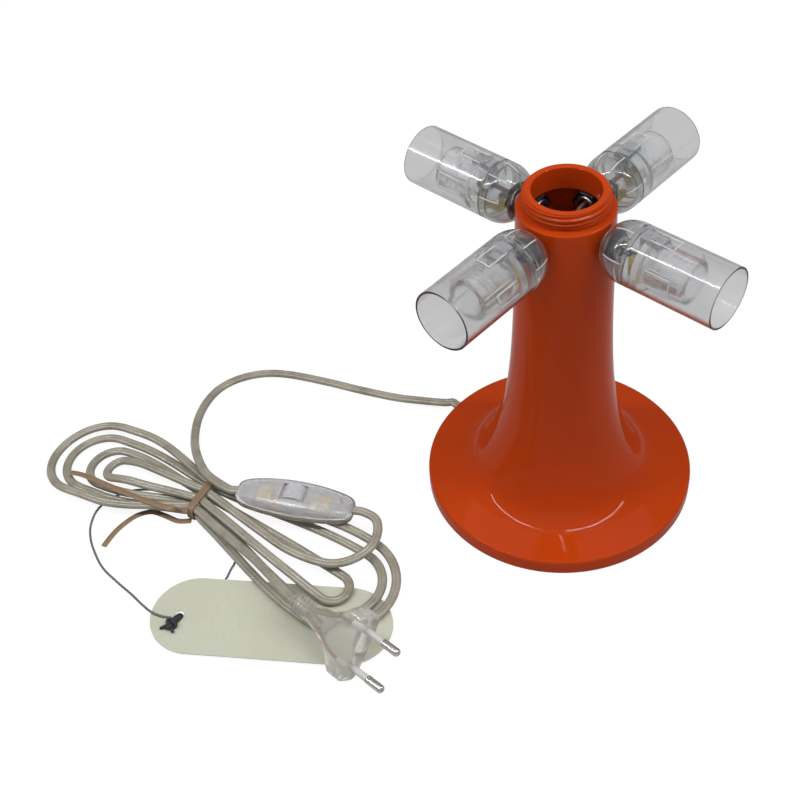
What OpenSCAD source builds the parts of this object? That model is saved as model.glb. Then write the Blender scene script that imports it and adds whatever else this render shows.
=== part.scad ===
// Desk lamp pedestal with four sideways lampholders, a flat twin lead with an in-line switch,
// a tied hank of cord and a flat two-pin plug. Millimetres, +Z up, origin under the middle of the base.

/* [Pedestal] */
// Radius of the round base
base_r = 66.7; // [62:0.1:72]
// Height of the rim's top edge above the table
rim_h = 8.6; // [8.4:0.1:9.6]
// Rounding of the rim's top edge
rim_round = 1.6; // [0.6:0.1:2.2]
// Height where the flared foot runs out into the flange
foot_h = 10; // [9.8:0.1:12]
// Rise of the shoulder under the neck above the lampholders' axis
shoulder_up = 8.9; // [8.8:0.1:12]
// Radius of the column at the shoulder
column_r = 21.9; // [20.5:0.1:24]
// Growth of the column's radius per millimetre going down
column_taper = 0.007; // [0:0.001:0.012]
// Radius that the flare adds at the foot
flare_wide = 22.5; // [21:0.1:24]
// Height over which the flare dies away
flare_h = 29; // [26:0.2:32]
// Radius that the rounded corner adds at the foot
corner_wide = 5; // [3:0.1:6]
// Height over which the corner dies away
corner_h = 2.5; // [1.6:0.1:3]
// Wall of the column
wall = 3; // [2.4:0.1:3.4]
// Wall of the base's rim
rim_wall = 3.4; // [2.6:0.1:4.2]
// Thickness of the flange over the base
flange_t = 2.8; // [2.2:0.1:3]
// Gap under the pedestal's rim, which stands on the pad
rim_lift = 0.3; // [0.1:0.1:0.6]

/* [Neck] */
// Height of the neck above the shoulder
neck_h = 8.7; // [7.5:0.1:14]
// Bore of the neck
neck_bore_r = 15.25; // [13:0.05:16]
// Radius at the root of the neck's thread
thread_root_r = 18.2; // [17.4:0.1:18.8]
// Depth of the neck's thread
thread_depth = 1.1; // [0.6:0.1:1.4]
// Pitch of the neck's thread
thread_pitch = 2.3; // [1.8:0.1:2.4]
// Thickness of the shelf that carries the neck
shelf_t = 2.4; // [2:0.1:2.4]

/* [Base fittings] */
// Thickness of the felt pad
felt_t = 0.8; // [0.6:0.1:1.2]
// Thickness of the base plate
plate_t = 1.4; // [1.2:0.1:1.8]
// Width of the ledge that the plate seats on
ledge_w = 2.2; // [1.4:0.1:2.4]
// Outer radius of the ballast ring
weight_r = 35; // [28:0.5:35.5]
// Height of the ballast ring
weight_h = 8; // [5:0.1:8.6]
// Radius of the round terminal block
block_r = 13; // [12:0.1:14]
// Height of the terminal block
block_h = 10; // [8:0.1:14]
// Distance of the base screws from the axis
screw_ring_r = 55.5; // [54:0.1:56]
// Shank radius of the base screws
screw_r = 1.4; // [1.2:0.05:1.8]
// Head radius of the base screws
screw_head_r = 2.8; // [2.4:0.1:3.2]

/* [Lampholders] */
// Height of the lampholders' axes
holder_h = 162.8; // [140:0.1:190]
// Outer radius of a lampholder
holder_r = 14; // [13.6:0.1:15]
// Wall of the sleeve
sleeve_wall = 1; // [0.8:0.05:1.2]
// Wall of the domed cap
cap_wall = 1.1; // [0.9:0.05:1.3]
// Distance from the axis to the seam between cap and sleeve
seam_d = 35; // [34.4:0.1:36]
// Distance from the axis to the open mouth
mouth_d = 82; // [76:0.5:95]
// Length of the cap's spigot inside the sleeve
spigot_l = 4; // [3:0.1:4.6]
// Distance from the axis to the back of the insert's floor
floor_d = 43; // [42:0.1:44]
// Thickness of the insert's floor
floor_t = 3; // [2.4:0.1:3.4]
// Length of the screw barrel in front of the floor
barrel_l = 20; // [18:0.5:24]
// Bore of the screw barrel
barrel_bore_r = 7; // [6.9:0.05:7.2]
// Outer radius of the screw barrel
barrel_r = 9.8; // [9:0.1:9.9]
// Outer radius of the threaded nipple
nipple_r = 5; // [4.6:0.05:5.2]
// Bore of the nipple
nipple_bore_r = 3.6; // [3.4:0.05:3.8]
// Distance across the flats of the lock nuts
nut_flats = 12.6; // [11.8:0.1:12.6]
// Thickness of the lock nuts
nut_t = 3; // [2.2:0.1:3]

/* [Contacts and wires] */
// Width of the side contact strip
strip_w = 5; // [4:0.1:5.4]
// Thickness of the side contact strip
strip_t = 0.5; // [0.4:0.05:0.6]
// Reach of the side contact in front of the floor
strip_reach = 11; // [8:0.5:14]
// Width of the terminal clamp
clamp_w = 6; // [5:0.1:6.2]
// Height of the terminal clamp
clamp_h = 2.4; // [2:0.1:2.4]
// Length of the terminal clamp
clamp_l = 10; // [8:0.1:12]
// Width of the sprung centre contact
tongue_w = 4; // [3:0.1:4.4]
// Thickness of the sprung centre contact
tongue_t = 0.4; // [0.3:0.05:0.5]
// Length of the sprung centre contact
tongue_l = 7.1; // [6:0.1:8]
// Lean of the centre contact out of the floor, in degrees
tongue_lean = 30; // [24:1:36]
// Radius of the single wires
wire_r = 1.1; // [0.9:0.05:1.15]
// Distance between the two wires of a lampholder
wire_gap = 2.8; // [2.5:0.1:3]
// Bend radius of the wires
wire_bend = 4; // [3.6:0.1:4.2]

/* [Flat cord] */
// Width of the flat cord
cord_w = 5; // [4.6:0.1:5.2]
// Thickness of the flat cord
cord_t = 3.1; // [2.8:0.1:3.2]
// Wall of the bush where the cord leaves the rim
bush_wall = 0.7; // [0.5:0.05:0.8]
// Length of the bush
bush_l = 6.5; // [5:0.1:8]

/* [In-line switch] */
// Length of the switch
switch_l = 62; // [60:0.5:68]
// Width of the switch at its middle
switch_w = 21; // [20.4:0.2:23]
// Height of the switch at its middle
switch_h = 11.6; // [11.2:0.1:13]
// How much narrower each side is at the switch's ends
switch_side_drop = 4; // [3:0.1:4.4]
// How much lower the top is at the switch's ends
switch_top_drop = 3.2; // [2.4:0.1:3.4]
// Wall of the switch's housing
switch_wall = 1.5; // [1.2:0.1:1.6]
// Height of the joint between the switch's base and cover
switch_split = 5; // [4.8:0.1:5.2]
// Radius of the rocker's drum
rocker_r = 6.2; // [5.8:0.1:6.4]
// Width of the rocker
rocker_w = 9.4; // [8.6:0.1:9.8]
// Tilt of the rocker to either side, in degrees
rocker_tilt = 8; // [6:0.5:9]
// Radius of the rocker's axle
axle_r = 1.2; // [1:0.05:1.4]

/* [Plug] */
// Width of the plug across its pins
plug_w = 34; // [33:0.1:37]
// Thickness of the plug
plug_t = 13.7; // [12:0.1:14.4]
// Length of the plug's body without its cord relief
plug_l = 31; // [28:0.5:34]
// Length of the cord relief
relief_l = 13; // [10:0.5:16]
// Radius of the cord relief
relief_r = 4.6; // [4.2:0.1:5]
// Distance between the pins
pin_spacing = 18.6; // [17.5:0.1:19.2]
// Length of the pins
pin_l = 19; // [17:0.5:20]
// Radius of the pins
pin_r = 2; // [1.9:0.05:2.4]
// Length of the pins' bare metal ends
pin_tip_l = 9.5; // [8:0.1:10]

/* [Tag and tie] */
// Length of the card tag
tag_l = 118; // [100:1:124]
// Width of the card tag
tag_w = 44; // [38:0.5:46]
// Thickness of the card tag
tag_t = 0.5; // [0.4:0.05:0.5]
// Radius of the tag's hole
tag_hole_r = 3; // [2:0.1:4]
// Radius of the tag's string
string_r = 0.5; // [0.4:0.05:0.5]
// Width of the wire tie
tie_w = 4; // [3:0.1:5]
// Thickness of the wire tie
tie_t = 0.7; // [0.6:0.05:0.7]

/* [Hidden] */
$fn = 64;

// Clearances: a snug fit, a free fit between neighbours, and a cut that runs past a face
snug = 0.05;
free = 0.3;
past = 1;

// Colours
orange = "#dd4412";
clear = [0.86, 0.87, 0.88, 0.45];
steel = "#a9abad";
brass = "#c2a75a";
black = "#262626";
white = "#f2f2ee";
cord_grey = "#a8a290";

// Heights in the base
plate_top = felt_t + plate_t;
recess_r = base_r - rim_wall;
rim_in_r = recess_r - ledge_w;
bush_h = cord_t + 2 * (free + bush_wall);
bush_w = cord_w + 2 * (free + bush_wall);
cord_h = plate_top + bush_h / 2 + snug;
shoulder_h = holder_h + shoulder_up;
neck_top = shoulder_h + neck_h;
weight_bore_r = block_r + past;
column_lean = wall / 2;

// Points along an arc, and a smooth step from 0 to 1
function arc(c, r, from, to, n) = [for (i = [0:n])
  let (a = from + (to - from) * i / n)
    c + r * [cos(a), sin(a)]];
function clamp01(s) = min(1, max(0, s));
function ease(s) = clamp01(s) * clamp01(s) * (3 - 2 * clamp01(s));
function mix(a, b, s) = a + (b - a) * s;

// Outer radius of the pedestal at height z
function flare(z) = column_r + column_taper * (shoulder_h - z)
  + flare_wide * exp(-(z - foot_h) / flare_h) + corner_wide * exp(-(z - foot_h) / corner_h);

// Bar with round long edges, lying along X, centred in Y and Z
module flat_bar(x0, x1, w, t) {
  translate([x0, 0, 0])
    rotate([90, 0, 90])
      linear_extrude(x1 - x0) {
        square([w - t, t], center = true);
        for (side = [-1, 1])
          translate([side * (w - t) / 2, 0])
            circle(t / 2);
      }
}

// Cylinder along X
module bar_x(x0, x1, r) {
  translate([x0, 0, 0])
    rotate([0, 90, 0])
      cylinder(h = x1 - x0, r = r);
}

// Box from corner to corner
module span(a, b) {
  translate(a)
    cube(b - a);
}

// Pedestal

flare_steps = 26;
rim_edge = 1;
neck_edge = 0.5;
ridges = 3;
ridge_start = 1.5;
boss_r = screw_r + 2.2;
boss_turns = [0, 120, 240];

inner_top = shoulder_h - shelf_t;
outer_curve = [for (i = [0:flare_steps])
  let (z = foot_h + (shoulder_h - foot_h) * pow(i / flare_steps, 2))
    [flare(z), z]];
inner_foot = foot_h - column_lean;
inner_curve = [for (i = [flare_steps:-1:0])
  let (z = inner_foot + (inner_top - inner_foot) * pow(i / flare_steps, 2))
    [flare(z + column_lean) - wall, z]];
thread_curve = [for (k = [0:ridges - 1], p = [[0, 0], [1, 0.35], [1, 0.55], [0, 0.9]])
  [thread_root_r + p[0] * thread_depth, shoulder_h + ridge_start + (k + p[1]) * thread_pitch]];

module pedestal_wall() {
  rotate_extrude($fn = 96)
    polygon(concat(
      [[recess_r, rim_lift]],
      arc([base_r - rim_edge, rim_lift + rim_edge], rim_edge, -90, 0, 4),
      arc([base_r - rim_round, rim_h - rim_round], rim_round, 0, 84, 5),
      outer_curve,
      [[thread_root_r, shoulder_h]],
      thread_curve,
      [[thread_root_r, neck_top - neck_edge], [thread_root_r - neck_edge, neck_top], [neck_bore_r, neck_top],
       [neck_bore_r, inner_top]],
      inner_curve,
      [[rim_in_r, rim_h - flange_t], [rim_in_r, plate_top], [recess_r, plate_top]]
    ));
}

module pedestal() {
  color(orange)
    difference() {
      union() {
        pedestal_wall();
        for (a = boss_turns)
          rotate([0, 0, a])
            translate([screw_ring_r, 0, plate_top])
              cylinder(h = rim_h - flange_t / 2 - plate_top, r = boss_r);
      }
      for (a = [0, 90])
        rotate([0, 0, a])
          translate([0, 0, holder_h])
            bar_x(-column_r - 2 * wall, column_r + 2 * wall, nipple_r + snug);
      for (a = boss_turns)
        rotate([0, 0, a])
          translate([screw_ring_r, 0, plate_top - past])
            cylinder(h = past + screw_bite, r = screw_r + snug);
      translate([0, 0, cord_h])
        flat_bar(-base_r - past, -weight_r - past, bush_w + 2 * snug, bush_h + 2 * snug);
    }
}

// Base fittings

screw_bite = 3.4;
block_screw_ring = 0.65 * block_r;
clamp_x = weight_r + 3;
clamp_deep = 7;
clamp_wide = 20;
clamp_bridge = 1.1;
clamp_top = cord_h + cord_t / 2 + clamp_bridge;
clamp_hole = 7.2;
clamp_screw_r = 1.2;
clamp_head_r = 2.2;
clamp_head_h = 1.5;
block_screw_r = 1.6;
block_screw_h = 2;

module base_plate() {
  color(steel)
    difference() {
      translate([0, 0, felt_t])
        cylinder(h = plate_t, r = recess_r - snug, $fn = 96);
      for (a = boss_turns)
        rotate([0, 0, a])
          translate([screw_ring_r, 0, felt_t - snug])
            cylinder(h = plate_t + 2 * snug, r1 = screw_head_r + snug, r2 = screw_r + snug);
      for (side = [-1, 1])
        translate([-clamp_x - clamp_deep / 2, side * clamp_hole, 0])
          cylinder(h = plate_top + past, r = clamp_screw_r + snug);
    }
}

module base_felt() {
  color(black)
    cylinder(h = felt_t, r = recess_r - free, $fn = 96);
}

module base_weight() {
  color("#6e7072")
    translate([0, 0, plate_top])
      difference() {
        cylinder(h = weight_h, r = weight_r, $fn = 96);
        translate([0, 0, -past])
          cylinder(h = weight_h + 2 * past, r = weight_bore_r);
        span([-weight_r - past, -cord_w / 2 - past, -past], [0, cord_w / 2 + past, weight_h + past]);
      }
}

module base_screws() {
  color(steel)
    for (a = boss_turns)
      rotate([0, 0, a])
        translate([screw_ring_r, 0, felt_t]) {
          cylinder(h = plate_t, r1 = screw_head_r, r2 = screw_r);
          translate([0, 0, plate_t])
            cylinder(h = screw_bite - free, r = screw_r);
        }
}

module cord_bush() {
  color(orange)
    translate([0, 0, cord_h])
      difference() {
        flat_bar(-base_r + free, -base_r + free + bush_l, bush_w, bush_h);
        flat_bar(-base_r, -base_r + free + bush_l + past, cord_w + 2 * snug, cord_t + 2 * snug);
      }
}

module cord_inner() {
  color(cord_grey)
    translate([0, 0, cord_h])
      flat_bar(-base_r - past, -block_r - snug, cord_w, cord_t);
}

module cord_clamp() {
  color(white)
    difference() {
      span([-clamp_x - clamp_deep, -clamp_wide / 2, plate_top], [-clamp_x, clamp_wide / 2, clamp_top]);
      translate([0, 0, cord_h])
        flat_bar(-clamp_x - clamp_deep - past, -clamp_x + past, cord_w + 2 * snug, cord_t + 2 * snug);
      span([-clamp_x - clamp_deep - past, -cord_w / 2 - snug, plate_top - past],
           [-clamp_x + past, cord_w / 2 + snug, cord_h]);
      for (side = [-1, 1])
        translate([-clamp_x - clamp_deep / 2, side * clamp_hole, 0]) {
          cylinder(h = clamp_top + past, r = clamp_screw_r + snug);
          translate([0, 0, clamp_top - clamp_head_h])
            cylinder(h = clamp_head_h + past, r = clamp_head_r + snug);
        }
    }
}

module clamp_screws() {
  color(steel)
    for (side = [-1, 1])
      translate([-clamp_x - clamp_deep / 2, side * clamp_hole, 0]) {
        translate([0, 0, felt_t + free])
          cylinder(h = clamp_top - clamp_head_h - felt_t - free, r = clamp_screw_r);
        translate([0, 0, clamp_top - clamp_head_h])
          cylinder(h = clamp_head_h, r = clamp_head_r);
      }
}

module block_screw_places() {
  for (a = [45:90:315])
    rotate([0, 0, a])
      translate([block_screw_ring, 0, plate_top + block_h - block_screw_h])
        children();
}

module terminal_block() {
  color(white)
    difference() {
      translate([0, 0, plate_top])
        cylinder(h = block_h, r = block_r);
      block_screw_places()
        cylinder(h = block_screw_h + past, r = block_screw_r + snug);
    }
}

module terminal_screws() {
  color(brass)
    block_screw_places()
      cylinder(h = block_screw_h, r = block_screw_r);
}

// Lampholders: each lies along +X in its own frame, at a distance from the column's axis

dome_r = holder_r;
cap_back_d = seam_d - sqrt(dome_r * dome_r - pow(nipple_r + 1.5, 2));
cap_floor = 3;
cap_bore_r = nipple_r + snug;
sleeve_bore_r = holder_r - sleeve_wall;
spigot_r = sleeve_bore_r - snug;
floor_front = floor_d + floor_t;
nipple_in = 12.8;
nipple_out = cap_back_d + cap_floor + nut_t + past;
seat_gap = 2.4;
inside_nut_d = flare(holder_h) - wall - seat_gap - nut_t;
latch_w = 6;
latch_l = 7;
latch_t = 3;
window_free = 0.2;
chamber_l = 5.5;
strip_z = barrel_r + free;
strip_back = seam_d;
clamp_back = floor_d - 3;
leg_t = 0.6;
wire_top = wire_gap / 2;
live_drop = block_r - 5.5;
neutral_drop = block_r - 2.5;
root_r = 0.5;
root_x = floor_front + root_r + free;
root_rise = 0.6;
root_z = -barrel_bore_r + root_r + tongue_w * tongue_w / (8 * barrel_bore_r) + root_rise;
// The blade is a little narrower than its rolled root
blade_w = tongue_w - 2 * free;
turns = [0, 90, 180, 270];

module at_holder(turn) {
  rotate([0, 0, turn])
    translate([0, 0, holder_h])
      children();
}

module holder_cap() {
  color(clear)
    difference() {
      union() {
        intersection() {
          translate([seam_d, 0, 0])
            sphere(r = dome_r);
          bar_x(cap_back_d, seam_d, dome_r + past);
        }
        bar_x(seam_d, seam_d + spigot_l, spigot_r);
      }
      intersection() {
        translate([seam_d, 0, 0])
          sphere(r = dome_r - cap_wall);
        bar_x(cap_back_d + cap_floor, seam_d, dome_r);
      }
      bar_x(seam_d - snug, seam_d + spigot_l + past, spigot_r - cap_wall);
      bar_x(cap_back_d - past, seam_d, cap_bore_r);
    }
}

module holder_sleeve() {
  color(clear)
    difference() {
      bar_x(seam_d, mouth_d, holder_r);
      bar_x(seam_d - past, mouth_d + past, sleeve_bore_r);
      for (side = [-1, 1])
        translate([floor_d - window_free, side * holder_r - latch_w / 2, -latch_w / 2 - window_free])
          cube([latch_l + 2 * window_free, latch_w, latch_w + 2 * window_free]);
    }
}

module holder_insert() {
  color(clear)
    difference() {
      union() {
        bar_x(floor_d, floor_front, sleeve_bore_r - snug);
        bar_x(floor_front, floor_front + barrel_l, barrel_r);
        intersection() {
          bar_x(floor_d, floor_front + barrel_l, holder_r - free);
          for (side = [-1, 1])
            translate([floor_d, side * (holder_r - latch_t / 2) - latch_t / 2, -latch_w / 2])
              cube([latch_l, latch_t, latch_w]);
        }
      }
      bar_x(floor_front, floor_front + barrel_l + past, barrel_bore_r);
      bar_x(floor_front, floor_front + chamber_l, barrel_bore_r + free);
      span([floor_d - past, -strip_w / 2 - snug, -strip_z - strip_t - snug],
           [floor_front + past, strip_w / 2 + snug, -strip_z + snug]);
      span([floor_d - past, -clamp_w / 2 - snug, strip_z - snug],
           [floor_front + past, clamp_w / 2 + snug, holder_r]);
    }
}

module holder_tongue() {
  color(brass)
    translate([root_x, 0, root_z]) {
      rotate([90, 0, 0])
        cylinder(h = tongue_w, r = root_r, center = true);
      rotate([0, tongue_lean, 0])
        span([-tongue_t / 2, -blade_w / 2, 0], [tongue_t / 2, blade_w / 2, tongue_l]);
    }
}

module holder_strip() {
  color(brass) {
    span([strip_back, -strip_w / 2, -strip_z - strip_t],
         [floor_front + strip_reach, strip_w / 2, -strip_z]);
    span([strip_back, -strip_w / 2, -strip_z], [strip_back + leg_t, strip_w / 2, -wire_top + wire_r]);
  }
}

module holder_terminal() {
  color(steel) {
    span([clamp_back, -clamp_w / 2, strip_z], [clamp_back + clamp_l, clamp_w / 2, strip_z + clamp_h]);
    span([clamp_back, -clamp_w / 2, wire_top - wire_r], [clamp_back + leg_t, clamp_w / 2, strip_z]);
  }
}

module nipples() {
  color(steel)
    for (a = turns)
      at_holder(a)
        difference() {
          bar_x(nipple_in, nipple_out, nipple_r);
          bar_x(nipple_in - past, nipple_out + past, nipple_bore_r);
        }
}

module lock_nut(d) {
  difference() {
    translate([d, 0, 0])
      rotate([0, 90, 0])
        rotate([0, 0, 30])
          cylinder(h = nut_t, r = nut_flats / sqrt(3), $fn = 6);
    bar_x(d - past, d + nut_t + past, nipple_r + snug);
  }
}

module lock_nuts() {
  color(black)
    for (a = turns)
      at_holder(a) {
        lock_nut(inside_nut_d);
        lock_nut(cap_back_d + cap_floor);
      }
}

// Wire from a lampholder, round a bend and down the column to the terminal block
module wire(height, reach, drop_d) {
  at_z = holder_h + height;
  translate([0, 0, at_z])
    bar_x(drop_d + wire_bend, reach, wire_r);
  translate([drop_d + wire_bend, 0, at_z - wire_bend])
    rotate([90, 0, 0])
      rotate([0, 0, 90])
        rotate_extrude(angle = 90)
          translate([wire_bend, 0])
            circle(wire_r);
  translate([drop_d, 0, plate_top + block_h])
    cylinder(h = at_z - wire_bend - plate_top - block_h, r = wire_r);
}

module live_leads() {
  color("#5b3a24")
    for (a = turns)
      rotate([0, 0, a])
        wire(wire_top, clamp_back, live_drop);
}

module neutral_leads() {
  color("#2d4a7a")
    for (a = turns)
      rotate([0, 0, a])
        wire(-wire_top, strip_back, neutral_drop);
}

// In-line switch: built on its own floor along X, then laid on the hank

switch_at = [-82.6, -108.7, 9.1];
switch_turn = [0, 0, 27];
switch_bow_r = (pow(switch_l / 2, 2) + pow(switch_side_drop, 2)) / (2 * switch_side_drop);
switch_top_r = (pow(switch_l / 2, 2) + pow(switch_top_drop, 2)) / (2 * switch_top_drop);
switch_end_round = 1;
rocker_z = 7.2;
rocker_rise = 1.2;
rocker_top = switch_h + rocker_rise;
rocker_foot = 2.7;
window_x = rocker_r + free;
window_y = rocker_w / 2 + free;
ear_t = 2;
ear_x = 3;
axle_l = 2 * (window_y + ear_t - 0.2);
arm_z = 3;
arm_half = 6.8;
arm_w = 4;
arm_t = 0.5;
arm_tilt = 4.5;
arm_pin_r = 0.8;
rail_t = 0.4;
rail_lap = 2;
terminal_x = 12;
terminal_l = 7;
terminal_w = 8;
terminal_lid = 0.6;
terminal_top = switch_split + cord_t / 2 + terminal_lid;
post_x = 23;
post_y = 4.9;
post_r = 1.8;
switch_screw_r = 1.1;
screw_above = 3;
grip_x = 26;
grip_l = 3;
grip_half = cord_w / 2 - 0.4;

module on_switch() {
  translate(switch_at)
    rotate(switch_turn)
      children();
}

// Outer form of the switch, drawn in by an inset on every side
module switch_form(inset) {
  bow = switch_bow_r - inset;
  bow_y = switch_bow_r - switch_w / 2;
  top = switch_top_r - inset;
  top_z = switch_top_r - switch_h;
  half = switch_l / 2 - inset;
  intersection() {
    translate([0, 0, inset])
      linear_extrude(switch_h)
        intersection() {
          translate([0, -bow_y])
            circle(bow, $fn = 128);
          translate([0, bow_y])
            circle(bow, $fn = 128);
          square([2 * half, switch_w], center = true);
          circle(half + switch_end_round, $fn = 128);
        }
    translate([0, switch_w / 2, -top_z])
      rotate([90, 0, 0])
        cylinder(h = switch_w, r = top, $fn = 128);
  }
}

// Part of the switch's shell between two heights
module switch_shell(z0, z1) {
  difference() {
    intersection() {
      switch_form(0);
      span([-switch_l, -switch_w, z0], [switch_l, switch_w, z1]);
    }
    switch_form(switch_wall);
  }
}

module cord_ways() {
  translate([0, 0, switch_split])
    for (side = [-1, 1])
      mirror([side < 0 ? 1 : 0, 0, 0])
        flat_bar(switch_l / 2 - 2 * switch_wall, switch_l / 2 + past, cord_w + 2 * snug, cord_t + 2 * snug);
}

module at_posts() {
  for (side = [-1, 1])
    translate([side * post_x, side * post_y, 0])
      children();
}

module switch_base() {
  color(clear)
    on_switch()
      difference() {
        union() {
          switch_shell(0, switch_split);
          intersection() {
            at_posts()
              cylinder(h = switch_split, r = post_r);
            switch_form(switch_wall / 2);
          }
          span([-arm_pin_r, -arm_w / 2, switch_wall - snug],
               [arm_pin_r, arm_w / 2, arm_z - arm_pin_r - snug]);
        }
        cord_ways();
        at_posts()
          translate([0, 0, -past])
            cylinder(h = switch_split + 2 * past, r = switch_screw_r + snug);
      }
}

module switch_cover() {
  color(clear)
    on_switch()
      difference() {
        union() {
          switch_shell(switch_split, switch_h);
          intersection() {
            union() {
              at_posts()
                translate([0, 0, switch_split])
                  cylinder(h = switch_h, r = post_r);
              for (side = [-1, 1])
                translate([-ear_x, side * (window_y + ear_t / 2) - ear_t / 2, rocker_z - axle_r - 1])
                  cube([2 * ear_x, ear_t, switch_h]);
            }
            switch_form(switch_wall / 2);
          }
        }
        span([-window_x, -window_y, switch_split - past], [window_x, window_y, switch_h + past]);
        translate([0, 0, rocker_z])
          rotate([90, 0, 0])
            cylinder(h = switch_w - 2 * switch_wall, r = axle_r + snug, center = true);
        cord_ways();
        at_posts()
          translate([0, 0, switch_split - past])
            cylinder(h = past + screw_above, r = switch_screw_r + snug);
      }
}

module rocker_pose(tilt, z) {
  on_switch()
    translate([0, 0, z])
      rotate([0, tilt, 0])
        children();
}

module switch_rocker() {
  color("#d8d8e2")
    rocker_pose(-rocker_tilt, rocker_z)
      difference() {
        intersection() {
          rotate([90, 0, 0])
            cylinder(h = rocker_w, r = rocker_r, center = true);
          span([-rocker_r, -rocker_w, -rocker_foot], [rocker_r, rocker_w, rocker_top - rocker_z]);
        }
        rotate([90, 0, 0])
          cylinder(h = rocker_w + past, r = axle_r + snug, center = true);
      }
}

module rocker_axle() {
  color(steel)
    rocker_pose(0, rocker_z)
      rotate([90, 0, 0])
        cylinder(h = axle_l, r = axle_r, center = true);
}

module contact_arm() {
  color(brass)
    rocker_pose(-arm_tilt, arm_z)
      union() {
        rotate([90, 0, 0])
          cylinder(h = arm_w, r = arm_pin_r, center = true);
        span([-arm_half, -arm_w / 2, -arm_t / 2], [arm_half, arm_w / 2, arm_t / 2]);
      }
}

module switch_terminals() {
  color(brass)
    on_switch()
      for (side = [-1, 1])
        mirror([side < 0 ? 1 : 0, 0, 0]) {
          span([terminal_x, -terminal_w / 2, switch_wall],
               [terminal_x + terminal_l, terminal_w / 2, terminal_top]);
          span([arm_half - rail_lap, -arm_w / 2, switch_wall], [terminal_x, arm_w / 2, switch_wall + rail_t]);
        }
}

module switch_screws() {
  color(steel)
    on_switch()
      at_posts()
        translate([0, 0, free])
          cylinder(h = switch_split + screw_above - 2 * free, r = switch_screw_r);
}

module cord_grips() {
  color(white)
    on_switch()
      for (side = [-1, 1])
        mirror([side < 0 ? 1 : 0, 0, 0])
          span([grip_x - grip_l, -grip_half, switch_wall],
               [grip_x, grip_half, switch_split - cord_t / 2 - snug]);
}

// Plug: pins along +X, in its own frame, with its front face at the origin

plug_at = [8, -155, 20.8];
plug_turn = [48, -4, -2];
plug_face = 9;
plug_waist = 2 * relief_r + 1;
plug_back_t = 2 * relief_r + 0.6;
plug_chamfer = 2.4;
plug_bow = 0.25;
plug_bow_at = 0.55;
pin_sleeve_t = 0.7;
pin_core_r = pin_r - pin_sleeve_t;
// The sleeves stand a little below the bare tips
pin_sleeve_r = pin_r - 5 * snug;
pin_bury = 8;
plug_stop = 3;

module on_plug() {
  translate(plug_at)
    rotate(plug_turn)
      children();
}

// Rectangle with its corners cut off
module chamfered(w, t, c) {
  polygon([[w / 2, t / 2 - c], [w / 2 - c, t / 2], [c - w / 2, t / 2], [-w / 2, t / 2 - c],
           [-w / 2, c - t / 2], [c - w / 2, -t / 2], [w / 2 - c, -t / 2], [w / 2, c - t / 2]]);
}

// Outline given by its upper half, from front to back
module both_ways(half) {
  polygon(concat(half, [for (i = [len(half) - 1:-1:0]) [half[i][0], -half[i][1]]]));
}

module at_pins() {
  for (side = [-1, 1])
    translate([0, side * pin_spacing / 2, 0])
      children();
}

module plug_body() {
  color(clear)
    on_plug()
      difference() {
        union() {
          intersection() {
            linear_extrude(plug_t, center = true)
              both_ways([[0, plug_w / 2], [-plug_face, plug_w / 2],
                         [-plug_l * plug_bow_at, plug_w * plug_bow],
                         [-plug_l, plug_waist / 2]]);
            rotate([90, 0, 0])
              linear_extrude(plug_w, center = true)
                both_ways([[0, plug_t / 2], [-plug_face, plug_t / 2], [-plug_l, plug_back_t / 2]]);
            rotate([90, 0, 90])
              linear_extrude(3 * plug_l, center = true)
                chamfered(plug_w, plug_t, plug_chamfer);
          }
          bar_x(-plug_l - relief_l, -plug_l, relief_r);
        }
        at_pins()
          bar_x(-pin_bury, past, pin_sleeve_r + snug);
        bar_x(-plug_l - relief_l - past, -plug_l - plug_stop, cord_w / 2 + snug);
      }
}

module plug_pins() {
  color(steel)
    on_plug()
      at_pins() {
        bar_x(-pin_bury + free, pin_l - pin_tip_l, pin_core_r);
        bar_x(pin_l - pin_tip_l, pin_l - pin_r / 2, pin_r);
        translate([pin_l - pin_r / 2, 0, 0])
          rotate([0, 90, 0])
            cylinder(h = pin_r / 2, r1 = pin_r, r2 = pin_r / 2);
      }
}

module pin_sleeves() {
  color(white)
    on_plug()
      at_pins()
        difference() {
          bar_x(-pin_bury + free, pin_l - pin_tip_l - snug, pin_sleeve_r);
          bar_x(-pin_bury, pin_l, pin_core_r + snug);
        }
}

// Cord routes: hand-laid points where the cord runs free, a formula where it is wound

// Point of a turned and shifted frame, as rotate() and translate() place it
function turn_x(p, a) = [p[0], p[1] * cos(a) - p[2] * sin(a), p[1] * sin(a) + p[2] * cos(a)];
function turn_y(p, a) = [p[0] * cos(a) + p[2] * sin(a), p[1], -p[0] * sin(a) + p[2] * cos(a)];
function turn_z(p, a) = [p[0] * cos(a) - p[1] * sin(a), p[0] * sin(a) + p[1] * cos(a), p[2]];
function placed(p, at, turn) = at + turn_z(turn_y(turn_x(p, turn[0]), turn[1]), turn[2]);

// Smooth curve through points: four rings between each pair
function between(p0, p1, p2, p3, s) = 0.5 * (2 * p1 + (p2 - p0) * s + (2 * p0 - 5 * p1 + 4 * p2 - p3) * s * s
  + (3 * p1 - p0 - 3 * p2 + p3) * s * s * s);
function smooth(pts, n) = let (last = len(pts) - 1) concat(
  [for (i = [0:last - 1], k = [0:n - 1])
    between(pts[max(i - 1, 0)], pts[i], pts[i + 1], pts[min(i + 2, last)], k / n)],
  [pts[last]]);

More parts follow.
